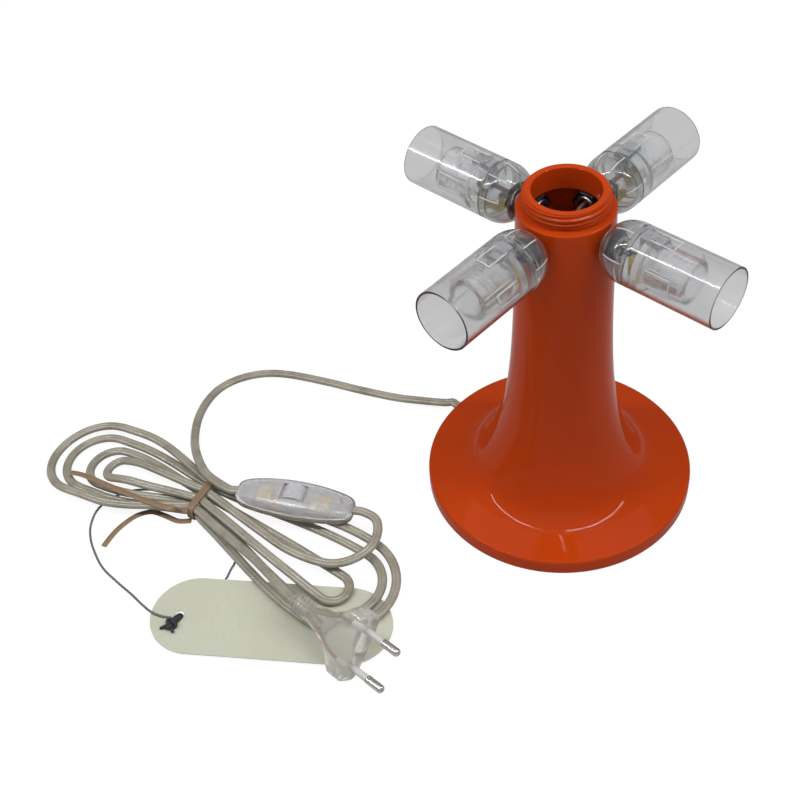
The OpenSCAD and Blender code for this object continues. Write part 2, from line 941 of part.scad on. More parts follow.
// Tube of a flat section swept along a path, kept level from side to side
function unit(v) = v / norm(v);
function path_dir(path, i) = unit(path[min(i + 1, len(path) - 1)] - path[max(i - 1, 0)]);
function ring(path, i, section) =
  let (ahead = path_dir(path, i), side = unit(cross(ahead, [0, 0, 1])), up = cross(side, ahead))
    [for (q = section) path[i] + side * q[0] + up * q[1]];
function oval(w, t, n) = [for (k = [0:n - 1])
  let (a = 360 * (k + 0.5) / n)
    [w / 2 * cos(a), t / 2 * sin(a)]];
module sweep(path, section) {
  n = len(section);
  m = len(path);
  polyhedron(
    points = [for (i = [0:m - 1], q = ring(path, i, section)) q],
    faces = concat(
      [for (k = [1:n - 2]) [0, k + 1, k]],
      [for (k = [1:n - 2]) [(m - 1) * n, (m - 1) * n + k, (m - 1) * n + k + 1]],
      [for (i = [0:m - 2], k = [0:n - 1])
        each [[i * n + k, i * n + (k + 1) % n, (i + 1) * n + k],
              [i * n + (k + 1) % n, (i + 1) * n + (k + 1) % n, (i + 1) * n + k]]]
    ));
}

// Ends of the cord in the switch and in the plug
switch_end = terminal_x + terminal_l + snug;
switch_mouth = switch_l / 2 + cord_w;
function in_switch(x) = placed([x, 0, switch_split], switch_at, switch_turn);
function in_plug(x) = placed([x, 0, 0], plug_at, plug_turn);
into_switch = [in_switch(-switch_mouth), in_switch(-switch_l / 2), in_switch(-switch_end)];
from_switch = [in_switch(switch_end), in_switch(switch_l / 2), in_switch(switch_mouth)];
plug_way = -plug_l - relief_l;
to_plug = [in_plug(plug_way - cord_w), in_plug(plug_way), in_plug(-plug_l - plug_stop - snug)];
from_rim = [for (k = [0:2]) [-base_r - past - k * cord_w * 0.45, 0, cord_h]];

// The waist of the hank, where the tie holds it, and the axes of its two lobes
waist = [-127, -133];
left_axis = 194;
right_axis = 2.5;
waist_axis = 14;
slot = 6;
layer = 3.75;
low = 3.5;
left_rest = 1.8;
right_rest = 3.7;
left_run = 52;
right_run = 92;
left_drift = -2.2;
right_drift = 3.4;

// Point at a distance along and across an axis through the waist
function off_axis(axis, along, across, z) =
  let (side = cos(axis) < 0 ? -across : across)
    [waist[0] + along * cos(axis) - side * sin(axis), waist[1] + along * sin(axis) + side * cos(axis), z];

// One strand's place in the tie: slot across, and layer
function held(s, k) = [s * slot / 2, low + k * layer];
function in_tie(h) = off_axis(waist_axis, 0, h[0], h[1]);

// How far a strand has spread from the tie to its lobe, along its run
function spread(s) = (ease(s) + sin(90 * clamp01(s))) / 2;

// One lobe of the hank: out from the tie, round a half turn and back again
run_rings = 8;
turn_rings = 11;
drop_start = 0.74;
function lobe(axis, even_run, from, to, first, reach, half, drift, rest) =
  let (run = reach - half,
       sag = (1 - drop_start) * run + half * PI / 2)
    concat(
      [for (j = [1:run_rings])
        let (s = j / (run_rings + 1))
          off_axis(axis, s * run, mix(from[0], drift + first * half, spread(s * run / even_run)),
                   mix(from[1], rest, ease((s - drop_start) * run / sag)))],
      [for (j = [0:turn_rings])
        let (a = 180 * j / turn_rings,
             gone = min(a, 180 - a) * PI / 180 * half + (1 - drop_start) * run,
             h = a < 90 ? from[1] : to[1])
          off_axis(axis, run + half * sin(a), drift + first * half * cos(a), mix(h, rest, ease(gone / sag)))],
      [for (j = [run_rings:-1:1])
        let (s = j / (run_rings + 1))
          off_axis(axis, s * run, mix(to[0], drift - first * half, spread(s * run / even_run)),
                   mix(to[1], rest, ease((s - drop_start) * run / sag)))]
    );

// Slots of the strands in the tie: odd counts of half a slot from the middle, and the layer
slot_a = held(1, 1);
slot_d_up = held(1, 0);
slot_b = held(3, 1);
slot_c = held(3, 0);
slot_d_low = held(-1, 1);
slot_f_in = held(-1, 0);
slot_f_out = held(-3, 0);
slot_e = held(-3, 1);

// From the switch over the hank into the tie, and from the tie to the plug
out_of_switch = smooth(concat(from_switch, [[-43, -91.5, 13.4], [-37, -97, 12], [-34.5, -106, 10.8],
  [-38, -117, 9.6], [-47, -125, 8.8], [-66, -130, 8], [-87, -130.6, 7.8], [-108, -130.4, 7.5]]), 3);
into_plug = smooth(concat([[-110, -142.6, 7.4], [-90, -144.5, 9], [-70, -147, 12]], to_plug), 3);

hank_path = concat(
  out_of_switch,
  [in_tie(slot_a)],
  lobe(left_axis, left_run, slot_a, slot_d_low, 1, 60, 6.6, left_drift, left_rest),
  [in_tie(slot_d_low)],
  lobe(right_axis, right_run, slot_d_low, slot_d_up, -1, 99, 8.4, -1.6, right_rest),
  [in_tie(slot_d_up)],
  lobe(left_axis, left_run, slot_d_up, slot_f_in, 1, 70, 12.6, left_drift, left_rest),
  [in_tie(slot_f_in)],
  lobe(right_axis, right_run, slot_f_in, slot_c, -1, 112, 20.4, right_drift, right_rest),
  [in_tie(slot_c)],
  lobe(left_axis, left_run, slot_c, slot_f_out, 1, 84, 18.6, left_drift, left_rest),
  [in_tie(slot_f_out)],
  lobe(right_axis, right_run, slot_f_out, slot_b, -1, 119, 26.8, right_drift, right_rest),
  [in_tie(slot_b)],
  lobe(left_axis, left_run, slot_b, slot_e, 1, 93, 24.4, left_drift, left_rest),
  [in_tie(slot_e)],
  into_plug
);

lead_path = smooth(concat(from_rim, [[-base_r - 9, -2.6, 4.2], [-base_r - 20, -8, 2.9],
  [-base_r - 34, -14.8, 1.9], [-120, -22.7, 1.7], [-140, -30.2, 1.7], [-160, -39, 1.7], [-172, -47.5, 1.7],
  [-180, -59, 1.7], [-183, -71, 1.7], [-181, -83, 1.7], [-175, -95, 1.7], [-165, -106, 3.2],
  [-152, -115.5, 9.4], [-140, -122, 12], [-130, -125, 12.8]], into_switch), 3);

// Least gap of the hank to itself, on points along the path: clear in plan or clear in height
gap_points = [for (i = [0:len(hank_path) - 2], k = [0:2]) mix(hank_path[i], hank_path[i + 1], k / 3)];
gap_skip = 24;
function pair_gap(p, q) = max(norm([p[0] - q[0], p[1] - q[1]]) - cord_w, abs(p[2] - q[2]) - cord_t);
hank_gap = min([for (i = [0:len(gap_points) - gap_skip - 1])
  min([for (j = [i + gap_skip:len(gap_points) - 1]) pair_gap(gap_points[i], gap_points[j])])]);
function path_length(path) = len(path) < 2 ? 0 : [for (i = 1, s = norm(path[1] - path[0]); i < len(path);
  i = i + 1, s = i < len(path) ? s + norm(path[i] - path[i - 1]) : s) s][len(path) - 2];
echo(hank_gap = hank_gap, hank_length = path_length(hank_path), lead_length = path_length(lead_path));

lead_sides = 8;
hank_sides = 6;

module cord_lead() {
  color(cord_grey)
    sweep(lead_path, oval(cord_w, cord_t, lead_sides));
}

module cord_hank() {
  color(cord_grey)
    sweep(hank_path, oval(cord_w, cord_t, hank_sides));
}

// Tie, tag and string

tie_slack = 1.2;
tie_in_w = 3 * slot + cord_w + tie_slack;
tie_foot = 0.05;
tie_in_h = low + layer + cord_t / 2 + free - tie_foot - tie_t;
tie_tail_w = 3.2;
tail_over = smooth([[-123.7, -145.8, 9.3], [-134, -151.5, 9.6], [-149, -156.5, 9.6], [-168, -161, 9.4],
  [-186, -164.5, 8], [-195, -167, 6]], 3);
tail_down = smooth([[-123.7, -145.4, 0.7], [-129, -150, 0.7], [-137, -152, 0.7], [-144.4, -154.8, 0.7],
  [-148.7, -162.2, 0.7], [-149, -174, 0.7], [-146, -185.3, 0.7]], 3);

module cord_tie() {
  color("#7d5a35") {
    translate([waist[0], waist[1], tie_foot])
      rotate([90, 0, waist_axis + 90])
        linear_extrude(tie_w, center = true)
          difference() {
            translate([-tie_in_w / 2 - tie_t, 0])
              square([tie_in_w + 2 * tie_t, tie_in_h + 2 * tie_t]);
            translate([-tie_in_w / 2, tie_t])
              square([tie_in_w, tie_in_h]);
          }
    sweep(tail_over, oval(tie_tail_w, tie_t, 8));
    sweep(tail_down, oval(tie_tail_w, tie_t, 8));
  }
}

tag_mid = [-46.7, -162.5];
tag_angle = 35;
tag_lift = 2 * string_r + free;
tag_hole_in = 14.3;

module hang_tag() {
  color("#e6e3c6")
    translate([tag_mid[0], tag_mid[1], tag_lift])
      rotate([0, 0, tag_angle])
        linear_extrude(tag_t)
          difference() {
            union() {
              square([tag_l - tag_w, tag_w], center = true);
              for (side = [-1, 1])
                translate([side * (tag_l - tag_w) / 2, 0])
                  circle(tag_w / 2);
            }
            translate([-tag_l / 2 + tag_hole_in, 0])
              circle(tag_hole_r);
          }
}

string_z = string_r + snug;
string_tied = tie_foot + tie_t + string_r + snug;
string_top = tag_lift + tag_t + string_r + snug;
string_path = smooth([[-84.5, -192.5, string_top], [-89, -195, string_top], [-95, -196.6, string_top],
  [-103, -196.2, 1.4], [-112, -195.4, string_z], [-122.6, -195.2, string_z], [-135.8, -194.2, string_z],
  [-148.1, -190, string_z], [-156, -185.9, string_z], [-162.4, -180.5, string_z], [-167.6, -172.1, string_z],
  [-168, -162.4, string_z], [-163, -151, string_z], [-150, -141.5, string_z], [-134, -138.5, string_tied],
  [-120, -137, string_tied], [-104, -138.5, string_z], [-89, -146, string_z], [-84.3, -154.6, string_z],
  [-81.6, -161.3, string_z], [-80, -172, string_z], [-81.5, -187, string_z]], 3);

module tag_string() {
  color("#77787a")
    sweep(string_path, oval(2 * string_r, 2 * string_r, 6));
}

pedestal();
base_plate();
base_felt();
base_weight();
base_screws();
cord_bush();
cord_inner();
cord_clamp();
clamp_screws();
terminal_block();
terminal_screws();
nipples();
lock_nuts();
live_leads();
neutral_leads();
at_holder(turns[0]) holder_cap();  // right_cap
at_holder(turns[0]) holder_sleeve();  // right_sleeve
at_holder(turns[0]) holder_insert();  // right_insert
at_holder(turns[0]) holder_tongue();  // right_tongue
at_holder(turns[0]) holder_strip();  // right_strip
at_holder(turns[0]) holder_terminal();  // right_terminal
at_holder(turns[1]) holder_cap();  // back_cap
at_holder(turns[1]) holder_sleeve();  // back_sleeve
at_holder(turns[1]) holder_insert();  // back_insert
at_holder(turns[1]) holder_tongue();  // back_tongue
at_holder(turns[1]) holder_strip();  // back_strip
at_holder(turns[1]) holder_terminal();  // back_terminal
at_holder(turns[2]) holder_cap();  // left_cap
at_holder(turns[2]) holder_sleeve();  // left_sleeve
at_holder(turns[2]) holder_insert();  // left_insert
at_holder(turns[2]) holder_tongue();  // left_tongue
at_holder(turns[2]) holder_strip();  // left_strip
at_holder(turns[2]) holder_terminal();  // left_terminal
at_holder(turns[3]) holder_cap();  // front_cap
at_holder(turns[3]) holder_sleeve();  // front_sleeve
at_holder(turns[3]) holder_insert();  // front_insert
at_holder(turns[3]) holder_tongue();  // front_tongue
at_holder(turns[3]) holder_strip();  // front_strip
at_holder(turns[3]) holder_terminal();  // front_terminal
switch_base();
switch_cover();
switch_rocker();
rocker_axle();
contact_arm();
switch_terminals();
switch_screws();
cord_grips();
plug_body();
plug_pins();
pin_sleeves();
cord_lead();
cord_hank();
cord_tie();
hang_tag();
tag_string();
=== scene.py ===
# %% [markdown]
# A desk lamp: a turned orange pedestal carries four clear lampholders on a cross,
# and a clear flat cord runs through an in-line switch to a moulded plug.
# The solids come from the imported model. Blender adds the looks, in metres, in the same frame.

import bmesh
import bpy
import numpy as np
from mathutils import Matrix
from numpy import cos, exp, pi, radians, sin


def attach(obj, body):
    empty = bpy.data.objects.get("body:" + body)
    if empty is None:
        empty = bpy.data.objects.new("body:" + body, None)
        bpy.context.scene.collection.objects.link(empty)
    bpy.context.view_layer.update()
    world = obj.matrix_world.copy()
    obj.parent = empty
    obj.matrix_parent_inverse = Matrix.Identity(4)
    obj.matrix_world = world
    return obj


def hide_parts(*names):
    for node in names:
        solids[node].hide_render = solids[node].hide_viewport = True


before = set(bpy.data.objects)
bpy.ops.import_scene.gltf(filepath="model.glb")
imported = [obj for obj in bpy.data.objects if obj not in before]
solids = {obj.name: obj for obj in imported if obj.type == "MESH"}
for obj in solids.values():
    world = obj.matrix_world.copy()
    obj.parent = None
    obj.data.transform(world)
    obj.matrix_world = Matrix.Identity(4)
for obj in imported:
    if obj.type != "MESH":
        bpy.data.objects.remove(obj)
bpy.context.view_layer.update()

# %% [markdown]
# The camera stands high at the right front, as the photographer did.
# Its three directions make the columns of one matrix, which is surer than three angles.
# A long lens keeps the upright column almost parallel.

# %% Camera
eye = np.array([273.14, -372.03, 523.28])
to_right = np.array([0.73747, 0.67236, -0.06379])
to_top = np.array([-0.44733, 0.55703, 0.69972])
focal_pixels, picture_wide, sensor_wide = 1331.87, 800, 36


def into_scene(name, data):
    """A new object that holds this data, linked to the scene."""
    made = bpy.data.objects.new(name, data)
    bpy.context.scene.collection.objects.link(made)
    return made


def placed(columns, at):
    """A place as a 4 by 4 matrix: three directions are its first columns, and the last one is where it stands."""
    place = np.eye(4)
    place[:3, :3] = np.stack(columns, axis=1)
    place[:3, 3] = at
    return Matrix(place.tolist())


lens = bpy.data.cameras.new("camera")
lens.sensor_fit = "HORIZONTAL"
lens.sensor_width = sensor_wide
lens.lens = focal_pixels * sensor_wide / picture_wide
lens.clip_end = 50
camera = into_scene("camera", lens)
camera.matrix_world = placed([to_right, to_top, -np.cross(to_top, to_right)], eye / 1000)
bpy.context.scene.camera = camera
bpy.context.scene.view_settings.view_transform = "Standard"
print(f"camera {lens.lens:.1f} mm, {np.linalg.norm(eye):.0f} mm from the foot of the lamp")

# %% [markdown]
# A finish is one Principled shader whose plain numbers sit on its own sockets.
# Small noise, lines and dents are wired to it by the helpers below.
# Patterns read Object coordinates, which are metres here, so a scale of 500 is a 2 mm grain.


# %% Helpers for finishes
def add_node(finish, kind, inputs=None, **settings):
    """One node: settings are its own choices, and an input is a number, a colour or another node's output."""
    tree = finish.node_tree
    node = tree.nodes.new("ShaderNode" + kind)
    for key, value in settings.items():
        setattr(node, key, value)
    for key, value in (inputs or {}).items():
        if isinstance(value, bpy.types.NodeSocket):
            tree.links.new(value, node.inputs[key])
        else:
            node.inputs[key].default_value = value
    return node


def maths(finish, operation, *values, **settings):
    """One sum, such as ADD or SINE, on numbers or outputs."""
    return add_node(finish, "Math", dict(enumerate(values)), operation=operation, **settings).outputs[0]


def join(finish, output, socket):
    """Wires an output to one socket of the finish's shader."""
    finish.node_tree.links.new(output, finish.node_tree.nodes["Principled BSDF"].inputs[socket])


def grain(finish, scale, stretch=(1, 1, 1), detail=4.0):
    """Noise on Object coordinates, drawn out along an axis by stretch; its output runs from 0 to 1."""
    where = add_node(finish, "TexCoord").outputs["Object"]
    where = add_node(finish, "Mapping", {"Vector": where, "Scale": stretch}).outputs["Vector"]
    return add_node(finish, "TexNoise", {"Vector": where, "Scale": scale, "Detail": detail}).outputs["Fac"]


def between(finish, share, low, high, start=0.3, end=0.7):
    """Carries a share that lies between start and end to a number between low and high."""
    node = add_node(finish, "MapRange", {
        "Value": share, "From Min": start, "From Max": end, "To Min": low, "To Max": high})
    return node.outputs["Result"]


def two_tones(finish, share, first, second):
    """Mixes two linear colours by a share: first*(1-share) + second*share."""
    node = add_node(finish, "Mix", {"Factor": share}, data_type="RGBA")
    node.inputs[6].default_value = (*first, 1)
    node.inputs[7].default_value = (*second, 1)
    return node.outputs[2]


def dents(finish, height, depth):
    """Turns a height from 0 to 1 into a bump of that depth in metres."""
    return add_node(finish, "Bump", {"Height": height, "Distance": depth, "Strength": 1.0}).outputs["Normal"]


def new_finish(name, colour, roughness, tones=None, rough=None, bump=None, **sockets):
    """A Principled finish with its plain values on the shader's sockets; colours are linear red, green, blue.
    Life comes from grains: tones is (scale, colour, colour), rough is (scale, low, high), bump is (scale, depth)."""
    finish = bpy.data.materials.new(name)
    finish.use_nodes = True
    shader = finish.node_tree.nodes["Principled BSDF"]
    for key, value in {"Base Color": (*colour, 1), "Roughness": roughness, **sockets}.items():
        shader.inputs[key.replace("_", " ")].default_value = value
    if tones:
        join(finish, two_tones(finish, grain(finish, tones[0]), *tones[1:]), "Base Color")
    if rough:
        join(finish, between(finish, grain(finish, rough[0]), *rough[1:]), "Roughness")
    if bump:
        join(finish, dents(finish, grain(finish, bump[0]), bump[1]), "Normal")
    return finish


print("finish helpers are ready")

# %% [markdown]
# The floor is plain and pale. Rays from the camera see it white, with a faint shadow. Rays that have passed
# through clear plastic or left a shine see it a little greyer, and all other rays see the paper as it is lit.
# Two long tubes, end to end, light the lamp and draw the lines of gloss; wide ones overhead and in front fill in.

# %% Floor
floor_half, white_share, white_glow, grey_glow = 4.0, 0.7, 1.28, 0.65


def seen_rays(finish):
    """1 for rays from the camera, less for those through clear plastic or off a shine, 0 for those that bring light."""
    rays = add_node(finish, "LightPath").outputs
    seen = rays["Is Camera Ray"]
    for kind, share in (("Is Transmission Ray", 0.75), ("Is Glossy Ray", 0.15)):
        seen = maths(finish, "MULTIPLY_ADD", rays[kind], share, seen, use_clamp=True)
    return seen


ground = bpy.data.meshes.new("floor")
reach = np.array([[-1, -1, 0], [1, -1, 0], [1, 1, 0], [-1, 1, 0]]) * floor_half
ground.from_pydata(reach.tolist(), [], [[0, 1, 2, 3]])
floor = into_scene("floor", ground)

paper = new_finish("floor_paper", (0.55, 0.55, 0.55), 0.9, Specular_IOR_Level=0.1)
share = maths(paper, "MULTIPLY", seen_rays(paper), white_share)
camera_ray = add_node(paper, "LightPath").outputs["Is Camera Ray"]
glow = maths(paper, "MULTIPLY_ADD", camera_ray, white_glow - grey_glow, grey_glow)
white = add_node(paper, "Emission", {"Color": (1, 1, 1, 1), "Strength": glow})
mixed = add_node(paper, "MixShader", {
    0: share, 1: paper.node_tree.nodes["Principled BSDF"].outputs[0], 2: white.outputs[0]})
paper.node_tree.links.new(mixed.outputs[0], paper.node_tree.nodes["Material Output"].inputs["Surface"])
ground.materials.append(paper)
print("floor laid")

# %% Lights
to_camera, to_side = np.array([0.592, -0.806, 0]), np.array([0.806, 0.592, 0])
middle, above = np.array([-0.03, -0.05, 0.05]), np.array([0, 0, 1.1])


def unit(directions):
    """The same directions, each one unit long."""
    return directions / np.linalg.norm(directions, axis=-1, keepdims=True)


def hang_lamp(name, at, size, watts):
    """An area lamp at a place in metres: its -Z axis faces the middle of the object, its long side lies sideways."""
    lamp = bpy.data.lights.new(name, "AREA")
    lamp.shape = "RECTANGLE"
    lamp.size, lamp.size_y = size
    lamp.energy = watts
    back = unit(at - middle)
    side = unit(to_side - back * np.dot(to_side, back))
    into_scene(name, lamp).matrix_world = placed([side, np.cross(back, side), back], at)


hang_lamp("overhead", -0.15 * to_camera + 1.2 * above, (1.4, 1.0), 3)
hang_lamp("front_lamp", 0.9 * to_camera + above, (1.6, 1.2), 2.8)
for name, hand in (("left_strip", -1), ("right_strip", 1)):
    hang_lamp(name, middle + 0.2 * to_camera + 0.72 * hand * to_side + above, (1.32, 0.035), 8)

room = bpy.data.worlds.new("room")
room.use_nodes = True
bpy.context.scene.world = room
sky = room.node_tree.nodes["Background"]
sky.inputs["Color"].default_value = (1, 1, 1, 1)
level = add_node(room, "MapRange", {"Value": seen_rays(room), "To Min": 0.2, "To Max": 1.0})
room.node_tree.links.new(level.outputs["Result"], sky.inputs["Strength"])
print("four lamps and a soft room")

# %% [markdown]
# Every new piece is a skin: a grid of points with a row and a column number, worked out as whole arrays.
# Four neighbours make a face. A round shape closes its columns into a ring,
# and a wall with an inside closes its rows too, so that it has a true thickness.

# %% Helpers for skins
sharp_fold = radians(38)


def skin(points, wrap_rows=False):
    """Faces of a closed skin: point (i, j) with (i, j+1), (i+1, j+1) and (i+1, j).
    The sum of a.(b x c) over the faces is six times the volume, and a negative one turns the faces round."""
    rows, cols = points.shape[:2]
    i, j = np.meshgrid(np.arange(rows if wrap_rows else rows - 1), np.arange(cols), indexing="ij")
    near, far, right = i * cols, (i + 1) % rows * cols, (j + 1) % cols
    faces = np.stack([near + j, near + right, far + right, far + j], axis=-1).reshape(-1, 4)
    flat = points.reshape(-1, 3)
    a, b, c, d = (flat[faces[:, k]] for k in range(4))
    volume = np.sum(a * np.cross(b, c)) + np.sum(a * np.cross(c, d))
    return flat, faces[:, ::-1] if volume < 0 else faces


def make_piece(name, skins, finish, body="lamp", stands_for=(), lay=None):
    """Puts skins, in millimetres, into one mesh in metres, closes seams and poles, and sets it on its body.
    lay is a vector for each point, kept as the attribute that a pattern along the piece reads."""
    first = np.cumsum([0] + [len(points) for points, _ in skins])
    points = np.concatenate([points for points, _ in skins]) / 1000
    faces = np.concatenate([faces + start for (_, faces), start in zip(skins, first)])
    mesh = bpy.data.meshes.new(name)
    mesh.from_pydata(points.tolist(), [], faces.tolist())
    if lay is not None:
        mesh.attributes.new("lay", "FLOAT_VECTOR", "POINT").data.foreach_set("vector", lay.ravel())
    close = bmesh.new()
    close.from_mesh(mesh)
    bmesh.ops.remove_doubles(close, verts=close.verts, dist=1e-7)
    close.to_mesh(mesh)
    close.free()
    mesh.shade_smooth()
    mesh.set_sharp_from_angle(angle=sharp_fold)
    mesh.materials.append(finish)
    piece = into_scene(name, mesh)
    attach(piece, body)
    if stands_for:
        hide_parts(*stands_for)
    print(f"{name}: {len(mesh.polygons)} faces")
    return piece


def soft_step(s):
    """0 before 0, 1 after 1, and 3s^2 - 2s^3 between."""
    s = np.clip(s, 0, 1)
    return s * s * (3 - 2 * s)


def blend(a, b, s):
    """a + (b - a)*s."""
    return a + (b - a) * s


def squared(wave, power):
    """A sine or cosine with its sign kept and its size raised to a power, for superellipses."""
    return np.sign(wave) * abs(wave) ** power


def round_about(count):
    """The angles of a full turn in even steps, without the last one."""
    return np.linspace(0, 2 * pi, count, endpoint=False)


def through(points, steps):
    """A smooth curve through points: a cubic between each pair, with slopes from the neighbours on both sides."""
    p = np.asarray(points, float)
    p0, p1, p2, p3 = np.vstack([p[:1], p[:-2]]), p[:-1], p[1:], np.vstack([p[2:], p[-1:]])
    s = (np.arange(steps) / steps)[None, :, None]
    p0, p1, p2, p3 = (q[:, None, :] for q in (p0, p1, p2, p3))
    curve = 0.5 * (2 * p1 + (p2 - p0) * s + (2 * p0 - 5 * p1 + 4 * p2 - p3) * s**2
                   + (3 * p1 - p0 - 3 * p2 + p3) * s**3)
    return np.vstack([curve.reshape(-1, p.shape[1]), p[-1:]])


def evenly(path, gap):
    """The same path with points a given gap apart along it, and how far along each one is."""
    gone = np.concatenate([[0], np.cumsum(np.linalg.norm(np.diff(path, axis=0), axis=1))])
    marks = np.linspace(0, gone[-1], int(round(gone[-1] / gap)) + 1)
    return np.stack([np.interp(marks, gone, path[:, k]) for k in range(3)], axis=1), marks


def capped(rows):
    """The rows of a tube with both ends closed to a point, which is the mean of the end row."""
    ends = [np.broadcast_to(rows[k].mean(axis=0), rows[k].shape)[None] for k in (0, -1)]
    return np.concatenate([ends[0], rows, ends[1]])


def swept(path, across, upward):
    """Carries a section along a path: path + side*across + up*upward, with side kept level, and closes both ends.
    across and upward have one row for each point of the path, or one row for all."""
    ahead = unit(np.gradient(path, axis=0))
    side = unit(np.cross(ahead, (0, 0, 1)))
    up = np.cross(side, ahead)
    return capped(path[:, None] + side[:, None] * across[..., None] + up[:, None] * upward[..., None])


def round_tube(path, radius):
    """A round section along a path: across r cos f and upward r sin f, in 12 steps."""
    f = round_about(12)[None]
    return skin(swept(path, radius * cos(f), radius * sin(f)))


print("skin helpers are ready")

# %% [markdown]
# The cord is a flat twin lead: two cores side by side in clear plastic, with a groove between them.
# Its route is settled first, because a cord is a fixed length of something heavy:
# out of the rim, round on the table and into the switch, then out again into a hank held by a wire tie.
# The hank's lobes follow a formula, so the strands lie beside each other and never through each other.

# %% Route of the lead
cord_wide, cord_thick, cord_up, on_table = 4.7, 2.95, 4.8, 1.7
switch_split = 5.0


def standing(at, degrees):
    """The move from a piece's own frame to the lamp's: turned about X, then Y, then Z, and carried to its place."""
    (cx, cy, cz), (sx, sy, sz) = cos(radians(degrees)), sin(radians(degrees))
    about_x = np.array([[1, 0, 0], [0, cx, -sx], [0, sx, cx]])
    about_y = np.array([[cy, 0, sy], [0, 1, 0], [-sy, 0, cy]])
    about_z = np.array([[cz, -sz, 0], [sz, cz, 0], [0, 0, 1]])
    turn = about_z @ about_y @ about_x
    return lambda points: np.asarray(points, float) @ turn.T + at


def along_x(*places, z=0.0):
    """Points on the X axis of a frame, at one height."""
    return np.array([[x, 0, z] for x in places])


on_switch, on_plug = standing([-82.6, -108.7, 9.1], [0, 0, 27]), standing([8.0, -155.0, 20.8], [48, -4, -2])
into_switch = on_switch(along_x(-36, -31, -19.05, z=switch_split))
from_switch = on_switch(along_x(19.05, 31, 36, z=switch_split))
into_relief = on_plug(along_x(-49, -44, -34.05))
lead_marks = np.vstack([
    along_x(-67.7, -69.95, -72.2, z=cord_up),
    [[-75.7, -2.6, 4.2], [-86.7, -8, 2.9], [-100.7, -14.8, 1.9], [-120, -22.7, on_table], [-140, -30.2, on_table],
     [-160, -39, on_table], [-172, -47.5, on_table], [-180, -59, on_table], [-183, -71, on_table],
     [-181, -83, on_table], [-175, -95, on_table], [-165, -106, 3.2], [-152, -115.5, 9.4], [-140, -122, 12],
     [-130, -125, 12.8]],
    into_switch])
lead_path, lead_gone = evenly(through(lead_marks, 12), 1.2)
print(f"lead {lead_gone[-1]:.0f} mm")

# %% Route of the hank
waist, tie_axis = np.array([-127.0, -133.0]), 14.0
slot_gap, layer_gap, low_layer = 6.0, 3.75, 3.5
sink_from, sink_share = 0.74, 0.26
left, right = (194, 52, 1, 1.8), (2.5, 92, -1, 3.7)


def off_axis(degrees, along, across, height):
    """Points along and across an axis through the waist; across keeps its side when the axis points back."""
    axis = radians(degrees)
    across = -across if cos(axis) < 0 else across
    x = waist[0] + along * cos(axis) - across * sin(axis)
    y = waist[1] + along * sin(axis) + across * cos(axis)
    return np.stack(np.broadcast_arrays(x, y, height), axis=-1)


def held(half_slots, layer):
    """A strand's place in the tie: across, and height."""
    return half_slots * slot_gap / 2, low_layer + layer * layer_gap


def in_tie(place):
    """The one point where a strand passes the tie."""
    return off_axis(tie_axis, np.zeros(1), place[0], place[1])


def spread(s):
    """How far a strand has opened out: the mean of a soft step and a quarter of a sine."""
    return (soft_step(s) + sin(pi / 2 * np.clip(s, 0, 1))) / 2


def lobe(hand, start, end, reach, half, drift):
    """From the tie, out, round a half circle and back. A hand gives the axis, the even run along which the strand
    spreads, its first side, and the rest height to which it sinks from its layer before the turn is half done."""
    axis, even_run, first, rest = hand
    run = reach - half
    sag = sink_share * run + half * pi / 2
    s = np.arange(1, 9) / 9
    sink = soft_step((s - sink_from) * run / sag)
    out, back = (
        off_axis(axis, s * run, blend(place[0], drift + side * half, spread(s * run / even_run)),
                 blend(place[1], rest, sink))
        for place, side in ((start, first), (end, -first)))
    a = pi * np.arange(12) / 11
    gone = np.minimum(a, pi - a) * half + sink_share * run
    height = blend(np.where(a < pi / 2, start[1], end[1]), rest, soft_step(gone / sag))
    turn = off_axis(axis, run + half * sin(a), drift + first * half * cos(a), height)
    return np.vstack([in_tie(start), out, turn, back[::-1]])


a, d_up, b, c = held(1, 1), held(1, 0), held(3, 1), held(3, 0)
d_low, f_in, f_out, e = held(-1, 1), held(-1, 0), held(-3, 0), held(-3, 1)
hank_marks = np.vstack([
    through(np.vstack([from_switch, [
        [-43, -91.5, 13.4], [-37, -97, 12], [-34.5, -106, 10.8], [-38, -117, 9.6], [-47, -125, 8.8],
        [-66, -130, 8], [-87, -130.6, 7.8], [-108, -130.4, 7.5]]]), 3),
    lobe(left, a, d_low, 60, 6.6, -2.2), lobe(right, d_low, d_up, 99, 8.4, -1.6),
    lobe(left, d_up, f_in, 70, 12.6, -2.2), lobe(right, f_in, c, 112, 20.4, 3.4),
    lobe(left, c, f_out, 84, 18.6, -2.2), lobe(right, f_out, b, 119, 26.8, 3.4),
    lobe(left, b, e, 93, 24.4, -2.2), in_tie(e),
    through(np.vstack([[[-110, -142.6, 7.4], [-90, -144.5, 9], [-70, -147, 12]], into_relief]), 3)])
hank_path, hank_gone = evenly(through(hank_marks, 6), 1.5)
print(f"hank {hank_gone[-1]:.0f} mm")

# %% [markdown]
# Clear soft plastic over bright strands looks grey and khaki, with a sharp shine on top.
# The strands are wound, so fine slanted lines run along each core. They are drawn from the way along the cord,
# which each point keeps as an attribute, because an Object pattern would not follow the bends.

